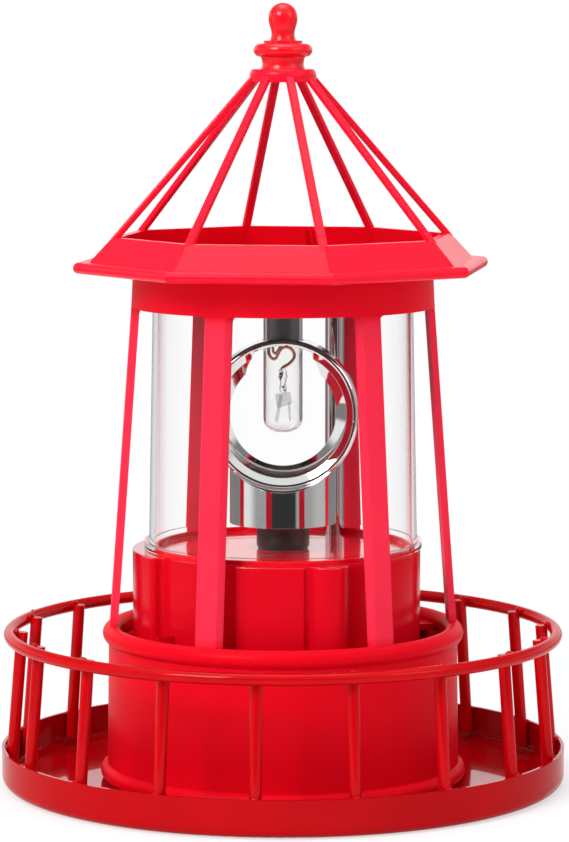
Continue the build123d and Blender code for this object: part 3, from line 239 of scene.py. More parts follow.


# Lantern house: drum, beads, six window posts and upper band moulded in one piece of red plastic.
# The thin posts and band pass some light. On top of that, the colour is painted by height: darker on the
# drum as painted shade, lighter on the posts and band as painted light.
def moulding_group():
    """Moulded plastic: faint flow clouds, a satin that varies, and a very fine tool texture."""
    group, given, result = new_group(
        "moulded_skin",
        [
            ("Colour", "NodeSocketColor"),
            ("Flow Colour", "NodeSocketColor"),
            ("Flow Scale", "NodeSocketFloat"),
            ("Grain Scale", "NodeSocketFloat"),
            ("Roughness", "NodeSocketFloat"),
        ],
        skin_outputs,
    )
    place = group.nodes.new("ShaderNodeTexCoord")
    flow = group.nodes.new("ShaderNodeTexNoise")
    flow.inputs["Detail"].default_value = 4
    flow.inputs["Distortion"].default_value = 0.2
    grain = group.nodes.new("ShaderNodeTexNoise")
    grain.inputs["Detail"].default_value = 2
    mix = group.nodes.new("ShaderNodeMix")
    mix.data_type = "RGBA"
    spread = group.nodes.new("ShaderNodeMapRange")
    spread.inputs["From Min"].default_value = 0.3
    spread.inputs["From Max"].default_value = 0.7
    rough = group.nodes.new("ShaderNodeMath")
    rough.operation = "MULTIPLY_ADD"
    rough.inputs[1].default_value = 0.10
    link = group.links.new
    link(place.outputs["Object"], flow.inputs["Vector"])
    link(place.outputs["Object"], grain.inputs["Vector"])
    link(given.outputs["Flow Scale"], flow.inputs["Scale"])
    link(given.outputs["Grain Scale"], grain.inputs["Scale"])
    link(flow.outputs["Fac"], spread.inputs["Value"])
    link(spread.outputs["Result"], mix.inputs["Factor"])
    link(given.outputs["Colour"], mix.inputs["A"])
    link(given.outputs["Flow Colour"], mix.inputs["B"])
    link(flow.outputs["Fac"], rough.inputs[0])
    link(given.outputs["Roughness"], rough.inputs[2])
    link(mix.outputs["Result"], result.inputs["Colour"])
    link(rough.outputs["Value"], result.inputs["Roughness"])
    link(grain.outputs["Fac"], result.inputs["Height"])
    return group


moulded_skin = moulding_group()


def mould_line_group():
    """A fine raised line up two opposite sides of a round piece, where the halves of the mould met."""
    line_rise = 4.0
    group, given, result = new_group(
        "mould_line",
        [("Height", "NodeSocketFloat"), ("Angle", "NodeSocketFloat"), ("Half Width", "NodeSocketFloat")],
        [("Height", "NodeSocketFloat")],
    )
    place = group.nodes.new("ShaderNodeTexCoord")
    axes = group.nodes.new("ShaderNodeSeparateXYZ")
    link = group.links.new
    link(place.outputs["Object"], axes.inputs["Vector"])
    steps = []
    for operation in ("ARCTAN2", "SUBTRACT", "SINE", "ABSOLUTE", "LESS_THAN", "MULTIPLY_ADD"):
        step = group.nodes.new("ShaderNodeMath")
        step.operation = operation
        steps.append(step)
    for first, second in zip(steps, steps[1:]):
        link(first.outputs["Value"], second.inputs[0])
    link(axes.outputs["Y"], steps[0].inputs[0])
    link(axes.outputs["X"], steps[0].inputs[1])
    link(given.outputs["Angle"], steps[1].inputs[1])
    link(given.outputs["Half Width"], steps[4].inputs[1])
    steps[5].inputs[1].default_value = line_rise
    link(given.outputs["Height"], steps[5].inputs[2])
    link(steps[5].outputs["Value"], result.inputs["Height"])
    return group


mould_line = mould_line_group()


def height_colours(tree, stops):
    """A colour that follows the height on the piece, from stops of metres and colour."""
    place = tree.nodes.new("ShaderNodeTexCoord")
    axes = tree.nodes.new("ShaderNodeSeparateXYZ")
    rise = tree.nodes.new("ShaderNodeMapRange")
    low = stops[0][0]
    high = stops[-1][0]
    rise.inputs["From Min"].default_value = low
    rise.inputs["From Max"].default_value = high
    ramp = tree.nodes.new("ShaderNodeValToRGB")
    elements = ramp.color_ramp.elements
    elements[0].color = stops[0][1]
    elements[1].color = stops[-1][1]
    for height, colour in stops[1:-1]:
        elements.new((height - low) / (high - low)).color = colour
    tree.links.new(place.outputs["Object"], axes.inputs["Vector"])
    tree.links.new(axes.outputs["Z"], rise.inputs["Value"])
    tree.links.new(rise.outputs["Result"], ramp.inputs["Fac"])
    return ramp.outputs["Color"]


def pass_light(shader, weight, depth):
    """Thin walls of this red plastic let some red light through."""
    shader.inputs["Subsurface Weight"].default_value = weight
    shader.inputs["Subsurface Radius"].default_value = (1.0, 0.08, 0.12)
    shader.inputs["Subsurface Scale"].default_value = depth


house_red, house_shader = skinned(
    "house_red",
    moulded_skin,
    {"Flow Scale": 22.0, "Grain Scale": 1600.0, "Roughness": 0.36},
    0.00002,
)
# Painted shade and painted light: the drum's red is set darker and the posts' and band's red lighter, by
# height on the piece
drum_colour_painted_shade = (0.73, 0.0008, 0.0105, 1)
post_colour_painted_light = (0.86, 0.0290, 0.0700, 1)
band_colour_painted_light = (0.78, 0.0026, 0.0180, 1)
drum_top = 0.0485
post_foot = 0.0525
post_head = 0.1455
band_foot = 0.1482
band_top = 0.16
house_tree = house_red.node_tree
house_colour_painted_light = height_colours(
    house_tree,
    [
        (0.0, drum_colour_painted_shade),
        (drum_top, drum_colour_painted_shade),
        (post_foot, post_colour_painted_light),
        (post_head, post_colour_painted_light),
        (band_foot, band_colour_painted_light),
        (band_top, band_colour_painted_light),
    ],
)
house_flow = house_tree.nodes.new("ShaderNodeMix")
house_flow.data_type = "RGBA"
house_flow.blend_type = "MULTIPLY"
house_flow.inputs["Factor"].default_value = 1.0
house_flow.inputs["B"].default_value = (0.93, 0.85, 0.88, 1)
house_line = house_tree.nodes.new("ShaderNodeGroup")
house_line.node_tree = mould_line
house_line.inputs["Angle"].default_value = radians(-104)
house_line.inputs["Half Width"].default_value = 0.004
house_skin = house_tree.nodes["skin"]
house_tree.links.new(house_colour_painted_light, house_skin.inputs["Colour"])
house_tree.links.new(house_colour_painted_light, house_flow.inputs["A"])
house_tree.links.new(house_flow.outputs["Result"], house_skin.inputs["Flow Colour"])
house_tree.links.new(house_skin.outputs["Height"], house_line.inputs["Height"])
house_tree.links.new(house_line.outputs["Height"], house_tree.nodes["relief"].inputs["Height"])
house_shader.inputs["Specular IOR Level"].default_value = 0.05
pass_light(house_shader, 0.5, 0.002)
cover(["lantern_house"], house_red)


# Roof cage: eave, skirt, eight ribs and hub moulded in one piece, screwed down on the band.
# Same red plastic as the house, a touch glossier on the sloped skirt.
roof_red, roof_shader = skinned(
    "roof_red",
    moulded_skin,
    {
        "Colour": (0.87, 0.0070, 0.0330, 1),
        "Flow Colour": (0.83, 0.0060, 0.0300, 1),
        "Flow Scale": 26.0,
        "Grain Scale": 1600.0,
        "Roughness": 0.18,
    },
    0.00002,
    0.0001,
)
roof_shader.inputs["Specular IOR Level"].default_value = 0.14
pass_light(roof_shader, 0.6, 0.002)
cover(["roof_cage"], roof_red)


# Screws: zinc-plated steel with turned heads and cut slots.
# They hold the tray, the roof, the gear plate, the bottom cover and the battery door.
def turned_group():
    """Machined metal: rings of tool marks about the part's own axis and a cloudy plating."""
    group, given, result = new_group(
        "tool_marks",
        [
            ("Colour", "NodeSocketColor"),
            ("Dull Colour", "NodeSocketColor"),
            ("Mark Scale", "NodeSocketFloat"),
            ("Roughness", "NodeSocketFloat"),
            ("Roughness Spread", "NodeSocketFloat"),
        ],
        skin_outputs,
    )
    place = group.nodes.new("ShaderNodeTexCoord")
    stretch = group.nodes.new("ShaderNodeMapping")
    stretch.inputs["Scale"].default_value = (0.15, 0.15, 1.0)
    marks = group.nodes.new("ShaderNodeTexNoise")
    marks.inputs["Detail"].default_value = 5
    cloud = group.nodes.new("ShaderNodeTexNoise")
    cloud.inputs["Scale"].default_value = 160.0
    mix = group.nodes.new("ShaderNodeMix")
    mix.data_type = "RGBA"
    rough = group.nodes.new("ShaderNodeMath")
    rough.operation = "MULTIPLY_ADD"
    link = group.links.new
    link(place.outputs["Object"], stretch.inputs["Vector"])
    link(stretch.outputs["Vector"], marks.inputs["Vector"])
    link(place.outputs["Object"], cloud.inputs["Vector"])
    link(given.outputs["Mark Scale"], marks.inputs["Scale"])
    link(cloud.outputs["Fac"], mix.inputs["Factor"])
    link(given.outputs["Colour"], mix.inputs["A"])
    link(given.outputs["Dull Colour"], mix.inputs["B"])
    link(marks.outputs["Fac"], rough.inputs[0])
    link(given.outputs["Roughness Spread"], rough.inputs[1])
    link(given.outputs["Roughness"], rough.inputs[2])
    link(mix.outputs["Result"], result.inputs["Colour"])
    link(rough.outputs["Value"], result.inputs["Roughness"])
    link(marks.outputs["Fac"], result.inputs["Height"])
    return group


tool_marks = turned_group()


def metal(name, colour, dull, mark_scale, roughness, spread=0.25):
    """A bare or plated metal with tool marks."""
    material, shader = skinned(
        name,
        tool_marks,
        {
            "Colour": colour,
            "Dull Colour": dull,
            "Mark Scale": mark_scale,
            "Roughness": roughness,
            "Roughness Spread": spread,
        },
        0.00002,
    )
    shader.inputs["Metallic"].default_value = 1.0
    return material


screw_zinc = metal("screw_zinc", (0.62, 0.62, 0.60, 1), (0.45, 0.45, 0.44, 1), 2600.0, 0.18)
cover(["gallery_screws", "roof_screws", "plate_screws", "cover_screws", "door_screw"], screw_zinc)


# Finial: neck, ring and ball moulded in one piece of red plastic, glued into the hub.
# It is smoother than the roof, so its ball and ring catch small bright highlights.
finial_red, finial_shader = skinned(
    "finial_red",
    moulded_skin,
    {
        "Colour": (0.84, 0.0040, 0.0160, 1),
        "Flow Colour": (0.78, 0.0032, 0.0130, 1),
        "Flow Scale": 60.0,
        "Grain Scale": 1800.0,
        "Roughness": 0.14,
    },
    0.00002,
)
finial_shader.inputs["Specular IOR Level"].default_value = 0.35
pass_light(finial_shader, 0.4, 0.002)
cover(["finial"], finial_red)


# Lamp module base: the drum that the tube stands on, moulded in red plastic.
# Its deck comes from a polished face of the mould and mirrors what stands on it.
base_red, base_shader = skinned(
    "base_red",
    moulded_skin,
    {
        "Colour": (0.67, 0.0018, 0.0120, 1),
        "Flow Colour": (0.62, 0.0015, 0.0105, 1),
        "Flow Scale": 24.0,
        "Grain Scale": 1600.0,
        "Roughness": 0.14,
    },
    0.00001,
)
deck_height = 0.0728
deck_reach = 0.0002
base_tree = base_red.node_tree
deck_place = base_tree.nodes.new("ShaderNodeTexCoord")
deck_axes = base_tree.nodes.new("ShaderNodeSeparateXYZ")
deck_level = base_tree.nodes.new("ShaderNodeMath")
deck_level.operation = "COMPARE"
deck_level.inputs[1].default_value = deck_height
deck_level.inputs[2].default_value = deck_reach
base_link = base_tree.links.new
base_link(deck_place.outputs["Object"], deck_axes.inputs["Vector"])
base_link(deck_axes.outputs["Z"], deck_level.inputs[0])
base_link(deck_level.outputs["Value"], base_shader.inputs["Coat Weight"])
base_shader.inputs["Coat Roughness"].default_value = 0.02
base_shader.inputs["Specular IOR Level"].default_value = 0.05
pass_light(base_shader, 0.3, 0.002)
cover(["module_base"], base_red)


# Seal: a flat ring of black rubber, cut from sheet.
# It lies in the groove of the deck, and the foot of the tube presses it flat.
def plain_moulding(name, colour, flow_colour, flow_scale, grain_scale, roughness, grain_depth):
    """A moulded material with nothing set on its shader beside the skin."""
    material, _ = skinned(
        name,
        moulded_skin,
        {
            "Colour": colour,
            "Flow Colour": flow_colour,
            "Flow Scale": flow_scale,
            "Grain Scale": grain_scale,
            "Roughness": roughness,
        },
        grain_depth,
    )
    return material


seal_rubber = plain_moulding(
    "seal_rubber", (0.020, 0.020, 0.021, 1), (0.030, 0.030, 0.031, 1), 90.0, 2200.0, 0.55, 0.00004
)
cover(["tube_seal"], seal_rubber)


# Clear tube: the lantern's window, extruded in acrylic with a foot flange, pushed over the deck's rim.
# The wall is clear and colourless, and faint draw lines run up it.
def clear_material(name, edge_painted_shade, roughness, ior, line_scale, body=(1, 1, 1, 1)):
    """A clear wall with painted shade that greys its colour where it is seen edge on, and faint lines
    along Z in its gloss.
    """
    material = bpy.data.materials.new(name)
    material.use_nodes = True
    tree = material.node_tree
    shader = tree.nodes["Principled BSDF"]
    shader.inputs["Transmission Weight"].default_value = 1.0
    shader.inputs["IOR"].default_value = ior
    place = tree.nodes.new("ShaderNodeTexCoord")
    stretch = tree.nodes.new("ShaderNodeMapping")
    stretch.inputs["Scale"].default_value = (1.0, 1.0, 0.02)
    lines = tree.nodes.new("ShaderNodeTexNoise")
    lines.inputs["Scale"].default_value = line_scale
    rough = tree.nodes.new("ShaderNodeMath")
    rough.operation = "MULTIPLY"
    rough.inputs[1].default_value = roughness
    edge_on = tree.nodes.new("ShaderNodeLayerWeight")
    edge_on.inputs["Blend"].default_value = 0.25
    streak = tree.nodes.new("ShaderNodeMath")
    streak.operation = "ADD"
    streak.inputs[1].default_value = 0.5
    edge_shade = tree.nodes.new("ShaderNodeMath")
    edge_shade.operation = "MULTIPLY"
    shade = tree.nodes.new("ShaderNodeMix")
    shade.data_type = "RGBA"
    shade.inputs["A"].default_value = body
    shade.inputs["B"].default_value = edge_painted_shade
    tree.links.new(place.outputs["Object"], stretch.inputs["Vector"])
    tree.links.new(stretch.outputs["Vector"], lines.inputs["Vector"])
    tree.links.new(lines.outputs["Fac"], rough.inputs[0])
    tree.links.new(lines.outputs["Fac"], streak.inputs[0])
    tree.links.new(streak.outputs["Value"], edge_shade.inputs[0])
    tree.links.new(edge_on.outputs["Facing"], edge_shade.inputs[1])
    tree.links.new(edge_shade.outputs["Value"], shade.inputs["Factor"])
    tree.links.new(rough.outputs["Value"], shader.inputs["Roughness"])
    tree.links.new(shade.outputs["Result"], shader.inputs["Base Color"])
    return material


# Painted shade: the tube's colour greys a little where its wall is seen edge on
tube_acrylic = clear_material("tube_acrylic", (0.955, 0.958, 0.96, 1), 0.01, 1.18, 300.0)
cover(["clear_tube"], tube_acrylic)
nodes["clear_tube"].visible_shadow = False


# Top cap: the black moulding that closes the tube, with a turret that holds the solar panel.
# The cover, the battery door and the gear plate under the base are of the same black plastic.
def black_moulding(name, colour, roughness):
    """Black or dark plastic with a fine spark texture and flow marks that are a little lighter."""
    flow_colour = tuple(channel * 1.35 for channel in colour[:3]) + (1,)
    return plain_moulding(name, colour, flow_colour, 40.0, 2400.0, roughness, 0.00003)


cap_black = black_moulding("cap_black", (0.022, 0.021, 0.022, 1), 0.30)
cover(["top_cap", "bottom_cover", "battery_door", "gear_plate"], cap_black)


# Solar panel: a disc of dark blue cells under clear resin, glued on the turret of the cap.
# Fine silver fingers are printed across the cells, and broad bus bars join them.
panel_cells = bpy.data.materials.new("panel_cells")
panel_cells.use_nodes = True
panel_tree = panel_cells.node_tree
panel_shader = panel_tree.nodes["Principled BSDF"]
panel_place = panel_tree.nodes.new("ShaderNodeTexCoord")
panel_axes = panel_tree.nodes.new("ShaderNodeSeparateXYZ")
panel_tree.links.new(panel_place.outputs["Object"], panel_axes.inputs["Vector"])
line_masks = []
for axis, pitch, width in (("X", 0.0022, 0.00018), ("Y", 0.018, 0.0011)):
    wrap = panel_tree.nodes.new("ShaderNodeMath")
    wrap.operation = "PINGPONG"
    wrap.inputs[1].default_value = pitch / 2
    thin = panel_tree.nodes.new("ShaderNodeMath")
    thin.operation = "LESS_THAN"
    thin.inputs[1].default_value = width / 2
    panel_tree.links.new(panel_axes.outputs[axis], wrap.inputs[0])
    panel_tree.links.new(wrap.outputs["Value"], thin.inputs[0])
    line_masks.append(thin)
either = panel_tree.nodes.new("ShaderNodeMath")
either.operation = "MAXIMUM"
silicon = panel_tree.nodes.new("ShaderNodeTexVoronoi")
silicon.inputs["Scale"].default_value = 260.0
flake = panel_tree.nodes.new("ShaderNodeMix")
flake.data_type = "RGBA"
flake.inputs["A"].default_value = (0.008, 0.012, 0.045, 1)
flake.inputs["B"].default_value = (0.016, 0.028, 0.090, 1)
printed = panel_tree.nodes.new("ShaderNodeMix")
printed.data_type = "RGBA"
printed.inputs["B"].default_value = (0.55, 0.56, 0.58, 1)
panel_tree.links.new(panel_place.outputs["Object"], silicon.inputs["Vector"])
panel_tree.links.new(silicon.outputs["Color"], flake.inputs["Factor"])
panel_tree.links.new(line_masks[0].outputs["Value"], either.inputs[0])
panel_tree.links.new(line_masks[1].outputs["Value"], either.inputs[1])
panel_tree.links.new(either.outputs["Value"], printed.inputs["Factor"])
panel_tree.links.new(flake.outputs["Result"], printed.inputs["A"])
panel_tree.links.new(printed.outputs["Result"], panel_shader.inputs["Base Color"])
panel_shader.inputs["Roughness"].default_value = 0.25
panel_shader.inputs["Coat Weight"].default_value = 1.0
panel_shader.inputs["Coat Roughness"].default_value = 0.02
cover(["solar_panel"], panel_cells)


# Lamp holder and bulb: a black holder under the cap carries a small clear bulb.
# Copper leads run into a twisted bead of clear glass, and a frame of mica strips hangs under it.
holder_black = black_moulding("holder_black", (0.085, 0.075, 0.078, 1), 0.35)
cover(["lamp_socket"], holder_black)
# Painted shade: the bulb, the bead and the mica frame turn to darker greys where they are seen edge on
bulb_clear = clear_material("bulb_clear", (0.62, 0.63, 0.63, 1), 0.02, 1.42, 500.0)
cover(["bulb_glass"], bulb_clear)
nodes["bulb_glass"].visible_shadow = False
lead_copper = metal("lead_copper", (0.86, 0.46, 0.28, 1), (0.70, 0.34, 0.20, 1), 1800.0, 0.20)
bead_glass = clear_material("bead_glass", (0.30, 0.30, 0.31, 1), 0.04, 1.5, 900.0)
frame_mica = clear_material(
    "frame_mica", (0.16, 0.16, 0.16, 1), 0.35, 1.3, 700.0, (0.68, 0.68, 0.67, 1)
)
contact_nickel = metal("contact_nickel", (0.80, 0.79, 0.77, 1), (0.62, 0.61, 0.60, 1), 3000.0, 0.20)
cover(["battery_contacts"], contact_nickel)


front_bearing = radians(4.5)


def lamp_point(across, height, depth=0.0):
    """A point in the upright plane that faces the front of the lamp, from millimetres."""
    return (
        (across * cos(front_bearing) + depth * sin(front_bearing)) / 1000,
        (depth * cos(front_bearing) - across * sin(front_bearing)) / 1000,
        height / 1000,
    )


def bent_wire(form, points, thickness):
    """Adds a round wire along a smooth line near these points."""
    line = bpy.data.curves.new("bent_wire", "CURVE")
    line.dimensions = "3D"
    line.bevel_depth = thickness / 2
    line.bevel_resolution = 3
    line.use_fill_caps = True
    line.resolution_u = 8
    spline = line.splines.new("NURBS")
    spline.points.add(len(points) - 1)
    for spot, point in zip(spline.points, points):
        spot.co = (*point, 1)
    spline.order_u = 3
    spline.use_endpoint_u = True
    holder = bpy.data.objects.new("bent_wire", line)
    tube = bpy.data.meshes.new_from_object(holder)
    form.from_mesh(tube)
    bpy.data.objects.remove(holder)
    bpy.data.curves.remove(line)
    bpy.data.meshes.remove(tube)


lead_form = bmesh.new()
bent_wire(
    lead_form,
    [
        lamp_point(-4.2, 137.6),
        lamp_point(-4.5, 135.2),
        lamp_point(-4.3, 132.4),
        lamp_point(-2.3, 131.2),
        lamp_point(-1.2, 134.0),
        lamp_point(0.2, 135.6),
        lamp_point(2.6, 135.0, 0.6),
        lamp_point(3.9, 132.4, 0.8),
        lamp_point(2.0, 130.0, 0.4),
        lamp_point(-0.4, 129.0),
        lamp_point(-0.8, 127.6),
    ],
    0.0010,
)
bent_wire(
    lead_form,
    [
        lamp_point(-3.0, 137.6, -0.8),
        lamp_point(-3.3, 134.6, -0.8),
        lamp_point(-2.4, 133.0, -0.9),
        lamp_point(-1.4, 134.6, -0.9),
        lamp_point(-0.2, 136.2, -0.8),
        lamp_point(1.4, 137.6, -0.6),
    ],
    0.0008,
)
leads = finish_piece("bulb_leads", lead_form, lead_copper, "lamp_module")
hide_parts("lead_wires")

bead_middle = 0.125
bead_twist = 450
bead_flatness = 0.55
bead_form = bmesh.new()
bead_outline = [
    (0.0, 128.9), (1.5, 128.7), (1.9, 127.6), (1.6, 126.2), (1.0, 125.1), (0.9, 124.1),
    (1.3, 123.1), (1.8, 122.3), (1.6, 121.5), (0.9, 121.1), (0.0, 121.0),
]
bead_verts = [bead_form.verts.new((radius / 1000, 0, height / 1000)) for radius, height in bead_outline]
bead_edges = [bead_form.edges.new(pair) for pair in zip(bead_verts, bead_verts[1:])]
bmesh.ops.spin(
    bead_form,
    geom=bead_verts + bead_edges,
    axis=(0, 0, 1),
    cent=(0, 0, 0),
    angle=2 * pi,
    steps=20,
    use_merge=True,
)
for vert in bead_form.verts:
    twist = Matrix.Rotation((vert.co.z - bead_middle) * bead_twist, 3, "Z")
    pinched = Vector((vert.co.x, vert.co.y * bead_flatness, 0))
    vert.co.xy = (twist @ pinched).xy
bead = finish_piece("bulb_bead", bead_form, bead_glass, "lamp_module")
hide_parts("bulb_stem")


def strip(form, corners, thickness):
    """Adds a flat strip of sheet, in millimetres, with its edges rounded by a fifth of its thickness."""
    face = form.faces.new([form.verts.new(lamp_point(*corner)) for corner in corners])
    pushed = bmesh.ops.extrude_face_region(form, geom=[face])["geom"]
    moved = [item for item in pushed if isinstance(item, bmesh.types.BMVert)]
    bmesh.ops.translate(form, vec=Vector(lamp_point(0, 0, thickness)), verts=moved)
    rim = list({edge for vert in moved for edge in vert.link_edges} | set(face.edges))
    bmesh.ops.bevel(
        form,
        geom=rim,
        offset=thickness / 5000,
        segments=2,
        profile=0.5,
        affect="EDGES",
        material=-1,
    )


filament_form = bmesh.new()
frame_plate = [(-2.4, 120.8, -0.8), (2.3, 121.3, 0.6), (2.8, 117.8, 0.8), (-1.8, 116.3, -0.6)]
left_leg = [(-1.1, 120.5, -1.0), (0.0, 120.5, -0.9), (-1.6, 111.9, -0.7), (-2.6, 112.3, -0.8)]
right_leg = [(1.5, 118.0, 0.4), (2.3, 118.0, 0.5), (2.5, 112.4, 0.4), (1.8, 112.2, 0.3)]
strip(filament_form, frame_plate, 0.5)
strip(filament_form, left_leg, 0.4)
strip(filament_form, right_leg, 0.4)
frame_piece = finish_piece("filament_frame", filament_form, frame_mica, "lamp_module")
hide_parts("filament")


# Conduit: a slim polished steel tube behind the reflector, held between the deck and the cap.
# The two sleeved wires of the panel run down through it into the base.
conduit_steel = metal("conduit_steel", (0.60, 0.58, 0.57, 1), (0.52, 0.50, 0.49, 1), 60.0, 0.02, 0.03)
cover(["wire_conduit"], conduit_steel)
wire_sleeve = black_moulding("wire_sleeve", (0.42, 0.02, 0.02, 1), 0.40)
cover(["panel_wires"], wire_sleeve)


# Bearing and stem: a black flanged bush pressed into the deck and the black stem that turns in it.
# Both are moulded in a dense black plastic that runs without grease.
stem_black = black_moulding("stem_black", (0.020, 0.017, 0.018, 1), 0.25)
cover(["deck_bushing", "reflector_hub"], stem_black)


# Reflector: a cup and a lens ring moulded in one piece and plated with bright chrome.
# The plating carries a very slight ripple of the plastic under it.
chrome_plate = metal("chrome_plate", (0.80, 0.80, 0.79, 1), (0.74, 0.74, 0.74, 1), 40.0, 0.01, 0.02)
cover(["reflector"], chrome_plate)


# Gear train: two white nylon gears, a brass pinion, a steel pin, and the motor with its shaft.
# The gears are moulded and the pinion is cut from rod and pressed on the shaft.
gear_nylon = plain_moulding(
    "gear_nylon", (0.74, 0.73, 0.68, 1), (0.68, 0.67, 0.62, 1), 80.0, 2400.0, 0.35, 0.00002
)
cover(["output_gear", "idler_gear"], gear_nylon)
pinion_brass = metal("pinion_brass", (0.70, 0.50, 0.22, 1), (0.58, 0.40, 0.17, 1), 2200.0, 0.18)
cover(["motor_pinion"], pinion_brass)
shaft_steel = metal("shaft_steel", (0.60, 0.60, 0.60, 1), (0.50, 0.50, 0.50, 1), 2600.0, 0.12)
cover(["idler_pin", "motor_shaft", "drive_motor", "switch_body"], shaft_steel)


# Battery, circuit board and switch: all sit under the base, behind the black cover.
# The cell has a printed sleeve without words, and the board wears a green mask.
cell_wrap = plain_moulding(
    "cell_wrap", (0.05, 0.22, 0.09, 1), (0.04, 0.19, 0.08, 1), 40.0, 2000.0, 0.22, 0.00001
)
cover(["battery_cell"], cell_wrap)
board_mask = plain_moulding(
    "board_mask", (0.015, 0.15, 0.055, 1), (0.03, 0.21, 0.09, 1), 300.0, 2000.0, 0.25, 0.00003
)
cover(["circuit_board"], board_mask)
knob_black = black_moulding("knob_black", (0.03, 0.03, 0.03, 1), 0.40)
cover(["switch_knob"], knob_black)


# Studio: a round of pale paper, a white tent of light and three soft boxes.
# Mirrors see the tent's dark opening on the camera's side and its grey wings beside it,
# the clear wall sees a pale level inside itself, and matt surfaces behind it see a brighter tent.
floor_radius = 0.45
floor_height = -0.00025
floor_mesh = bmesh.new()
bmesh.ops.create_circle(floor_mesh, cap_ends=True, segments=96, radius=floor_radius)
bmesh.ops.translate(floor_mesh, vec=(0, 0, floor_height), verts=floor_mesh.verts)
floor_data = bpy.data.meshes.new("studio_floor")
floor_mesh.to_mesh(floor_data)
floor_mesh.free()
studio_floor = bpy.data.objects.new("studio_floor", floor_data)
bpy.context.scene.collection.objects.link(studio_floor)
floor_paper = bpy.data.materials.new("floor_paper")
floor_paper.use_nodes = True
floor_tree = floor_paper.node_tree
floor_shader = floor_tree.nodes["Principled BSDF"]
floor_shader.inputs["Base Color"].default_value = (0.9, 0.9, 0.9, 1)
floor_shader.inputs["Roughness"].default_value = 0.9
floor_shader.inputs["Specular IOR Level"].default_value = 0.1
floor_glow = floor_tree.nodes.new("ShaderNodeEmission")
floor_path = floor_tree.nodes.new("ShaderNodeLightPath")
floor_seen = floor_tree.nodes.new("ShaderNodeMath")
floor_seen.operation = "MAXIMUM"
floor_seen_all = floor_tree.nodes.new("ShaderNodeMath")
floor_seen_all.operation = "MAXIMUM"
floor_place = floor_tree.nodes.new("ShaderNodeTexCoord")
floor_reach = floor_tree.nodes.new("ShaderNodeVectorMath")
floor_reach.operation = "LENGTH"
floor_fade = floor_tree.nodes.new("ShaderNodeMapRange")
floor_fade.inputs["From Min"].default_value = 0.08
floor_fade.inputs["From Max"].default_value = 0.16
floor_fade.inputs["To Min"].default_value = 0.55
floor_fade.inputs["To Max"].default_value = 1.0
floor_part = floor_tree.nodes.new("ShaderNodeMath")
floor_part.operation = "MULTIPLY"
floor_mix = floor_tree.nodes.new("ShaderNodeMixShader")
floor_link = floor_tree.links.new
floor_link(floor_path.outputs["Is Camera Ray"], floor_seen.inputs[0])
floor_link(floor_path.outputs["Is Glossy Ray"], floor_seen.inputs[1])
floor_link(floor_seen.outputs["Value"], floor_seen_all.inputs[0])
floor_link(floor_path.outputs["Is Transmission Ray"], floor_seen_all.inputs[1])
floor_link(floor_place.outputs["Object"], floor_reach.inputs[0])
floor_link(floor_reach.outputs["Value"], floor_fade.inputs["Value"])
floor_link(floor_fade.outputs["Result"], floor_part.inputs[0])
floor_link(floor_seen_all.outputs["Value"], floor_part.inputs[1])
floor_link(floor_part.outputs["Value"], floor_mix.inputs["Fac"])
floor_link(floor_shader.outputs["BSDF"], floor_mix.inputs[1])
floor_link(floor_glow.outputs["Emission"], floor_mix.inputs[2])
floor_link(floor_mix.outputs["Shader"], floor_tree.nodes["Material Output"].inputs["Surface"])
studio_floor.data.materials.append(floor_paper)

tent = bpy.data.worlds.new("tent")
bpy.context.scene.world = tent
tent.use_nodes = True
tent_tree = tent.node_tree
tent_light = tent_tree.nodes["Background"]
tent_light.inputs["Color"].default_value = (1, 1, 1, 1)
tent_place = tent_tree.nodes.new("ShaderNodeTexCoord")
tent_axes = tent_tree.nodes.new("ShaderNodeSeparateXYZ")
tent_front = tent_tree.nodes.new("ShaderNodeVectorMath")
tent_front.operation = "DOT_PRODUCT"
tent_front.inputs[1].default_value = (-sin(front_bearing), -cos(front_bearing), 0)
tent_path = tent_tree.nodes.new("ShaderNodeLightPath")
tent_link = tent_tree.links.new
tent_link(tent_place.outputs["Generated"], tent_axes.inputs["Vector"])
tent_link(tent_place.outputs["Generated"], tent_front.inputs[0])


def ramp_between(source, start, end):
    """A smooth step of this value from 0 at start to 1 at end."""
    step = tent_tree.nodes.new("ShaderNodeMapRange")
    step.interpolation_type = "SMOOTHSTEP"
    step.inputs["From Min"].default_value = start
    step.inputs["From Max"].default_value = end
    tent_link(source, step.inputs["Value"])
    return step.outputs["Result"]


def blend_level(share, first, second):
    """The first level where share is 0 and the second where it is 1."""
    level = tent_tree.nodes.new("ShaderNodeMix")
    tent_link(share, level.inputs["Factor"])
    for socket, value in (("A", first), ("B", second)):
        if isinstance(value, float):
            level.inputs[socket].default_value = value
        else:
            tent_link(value, level.inputs[socket])
    return level.outputs["Result"]


matt_level = 0.66
inside_level = 0.95
left_level = 0.95
right_level = 0.55
wing_level = 0.40
back_low_level = 0.25
back_high_level = 1.0
upper_front_level = 0.95
upper_back_level = 0.25
top_level = 1.25
opening_level = 0.03
wall_level = 0.85
straight_level = 1.0
first_bounce = (0.4, 0.6)
third_pass = (2.4, 2.6)
across = tent_axes.outputs["X"]
away = tent_axes.outputs["Y"]
upward = tent_axes.outputs["Z"]
toward = tent_front.outputs["Value"]
wall_passes = tent_path.outputs["Transmission Depth"]
mirror_side = blend_level(ramp_between(across, -0.3, 0.4), left_level, right_level)
mirror_wing = blend_level(ramp_between(toward, 0.15, 0.55), mirror_side, wing_level)
back_level = blend_level(ramp_between(upward, -0.06, 0.03), back_low_level, back_high_level)
mirror_back = blend_level(ramp_between(away, 0.05, 0.4), mirror_wing, back_level)
upper_level = blend_level(ramp_between(away, -0.1, 0.25), upper_front_level, upper_back_level)
mirror_mid = blend_level(ramp_between(upward, 0.25, 0.45), mirror_back, upper_level)
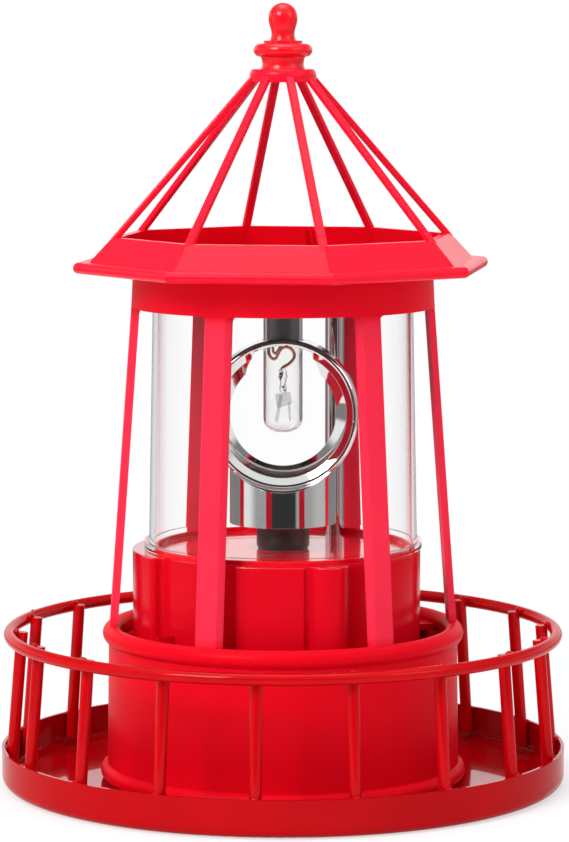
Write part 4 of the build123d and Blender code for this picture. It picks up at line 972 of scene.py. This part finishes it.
mirror_top = blend_level(ramp_between(upward, 0.70, 0.90), mirror_mid, top_level)
mirror_view = blend_level(ramp_between(toward, 0.85, 0.90), mirror_top, opening_level)
in_wall = blend_level(ramp_between(wall_passes, *third_pass), wall_level, mirror_view)
mirror_seen = blend_level(ramp_between(wall_passes, *first_bounce), mirror_view, in_wall)
glossy_share = ramp_between(tent_path.outputs["Glossy Depth"], *first_bounce)
glossy_seen = blend_level(glossy_share, straight_level, mirror_seen)
straight = tent_tree.nodes.new("ShaderNodeMath")
straight.operation = "MAXIMUM"
tent_link(tent_path.outputs["Is Camera Ray"], straight.inputs[0])
tent_link(tent_path.outputs["Is Glossy Ray"], straight.inputs[1])
any_seen = blend_level(straight.outputs["Value"], matt_level, glossy_seen)
matt_share = ramp_between(tent_path.outputs["Diffuse Depth"], *first_bounce)
matt_seen = blend_level(ramp_between(wall_passes, *first_bounce), matt_level, inside_level)
tent_level = blend_level(matt_share, any_seen, matt_seen)
tent_link(tent_level, tent_light.inputs["Strength"])


def soft_lamp(name, place, aim, width, power):
    """A square soft box at this place, turned to face the point it is aimed at."""
    lamp = bpy.data.lights.new(name, "AREA")
    lamp.size = width
    lamp.energy = power
    holder = bpy.data.objects.new(name, lamp)
    bpy.context.scene.collection.objects.link(holder)
    facing = (Vector(aim) - Vector(place)).to_track_quat("-Z", "Y")
    holder.matrix_world = Matrix.LocRotScale(Vector(place), facing, None)


soft_lamp("lamp_left", (-1.0, -1.1, 1.1), (0, 0, 0.12), 0.7, 22.0)
soft_lamp("lamp_right", (1.2, -0.9, 0.8), (0, 0, 0.12), 0.7, 3.0)
soft_lamp("lamp_top", (0.0, 0.1, 1.6), (0, 0, 0.1), 0.9, 9.0)


# Camera: a long lens at the height of the finial, a little to the left of the front.
# It looks down on the middle of the lantern, which fills the upright frame.
camera_distance = 1.161
camera_height = 0.2404
camera_tilt = radians(90 - 6.294)
camera_turn = 0.0004
camera_lens = bpy.data.cameras.new("photo_camera")
camera_lens.lens = 161.5
camera_lens.sensor_width = 36.0
photo_camera = bpy.data.objects.new("photo_camera", camera_lens)
bpy.context.scene.collection.objects.link(photo_camera)
photo_camera.location = (
    -camera_distance * sin(front_bearing),
    -camera_distance * cos(front_bearing),
    camera_height,
)
photo_camera.rotation_euler = (camera_tilt, 0, -front_bearing - camera_turn)
bpy.context.scene.camera = photo_camera

bpy.context.scene.view_settings.view_transform = "Standard"
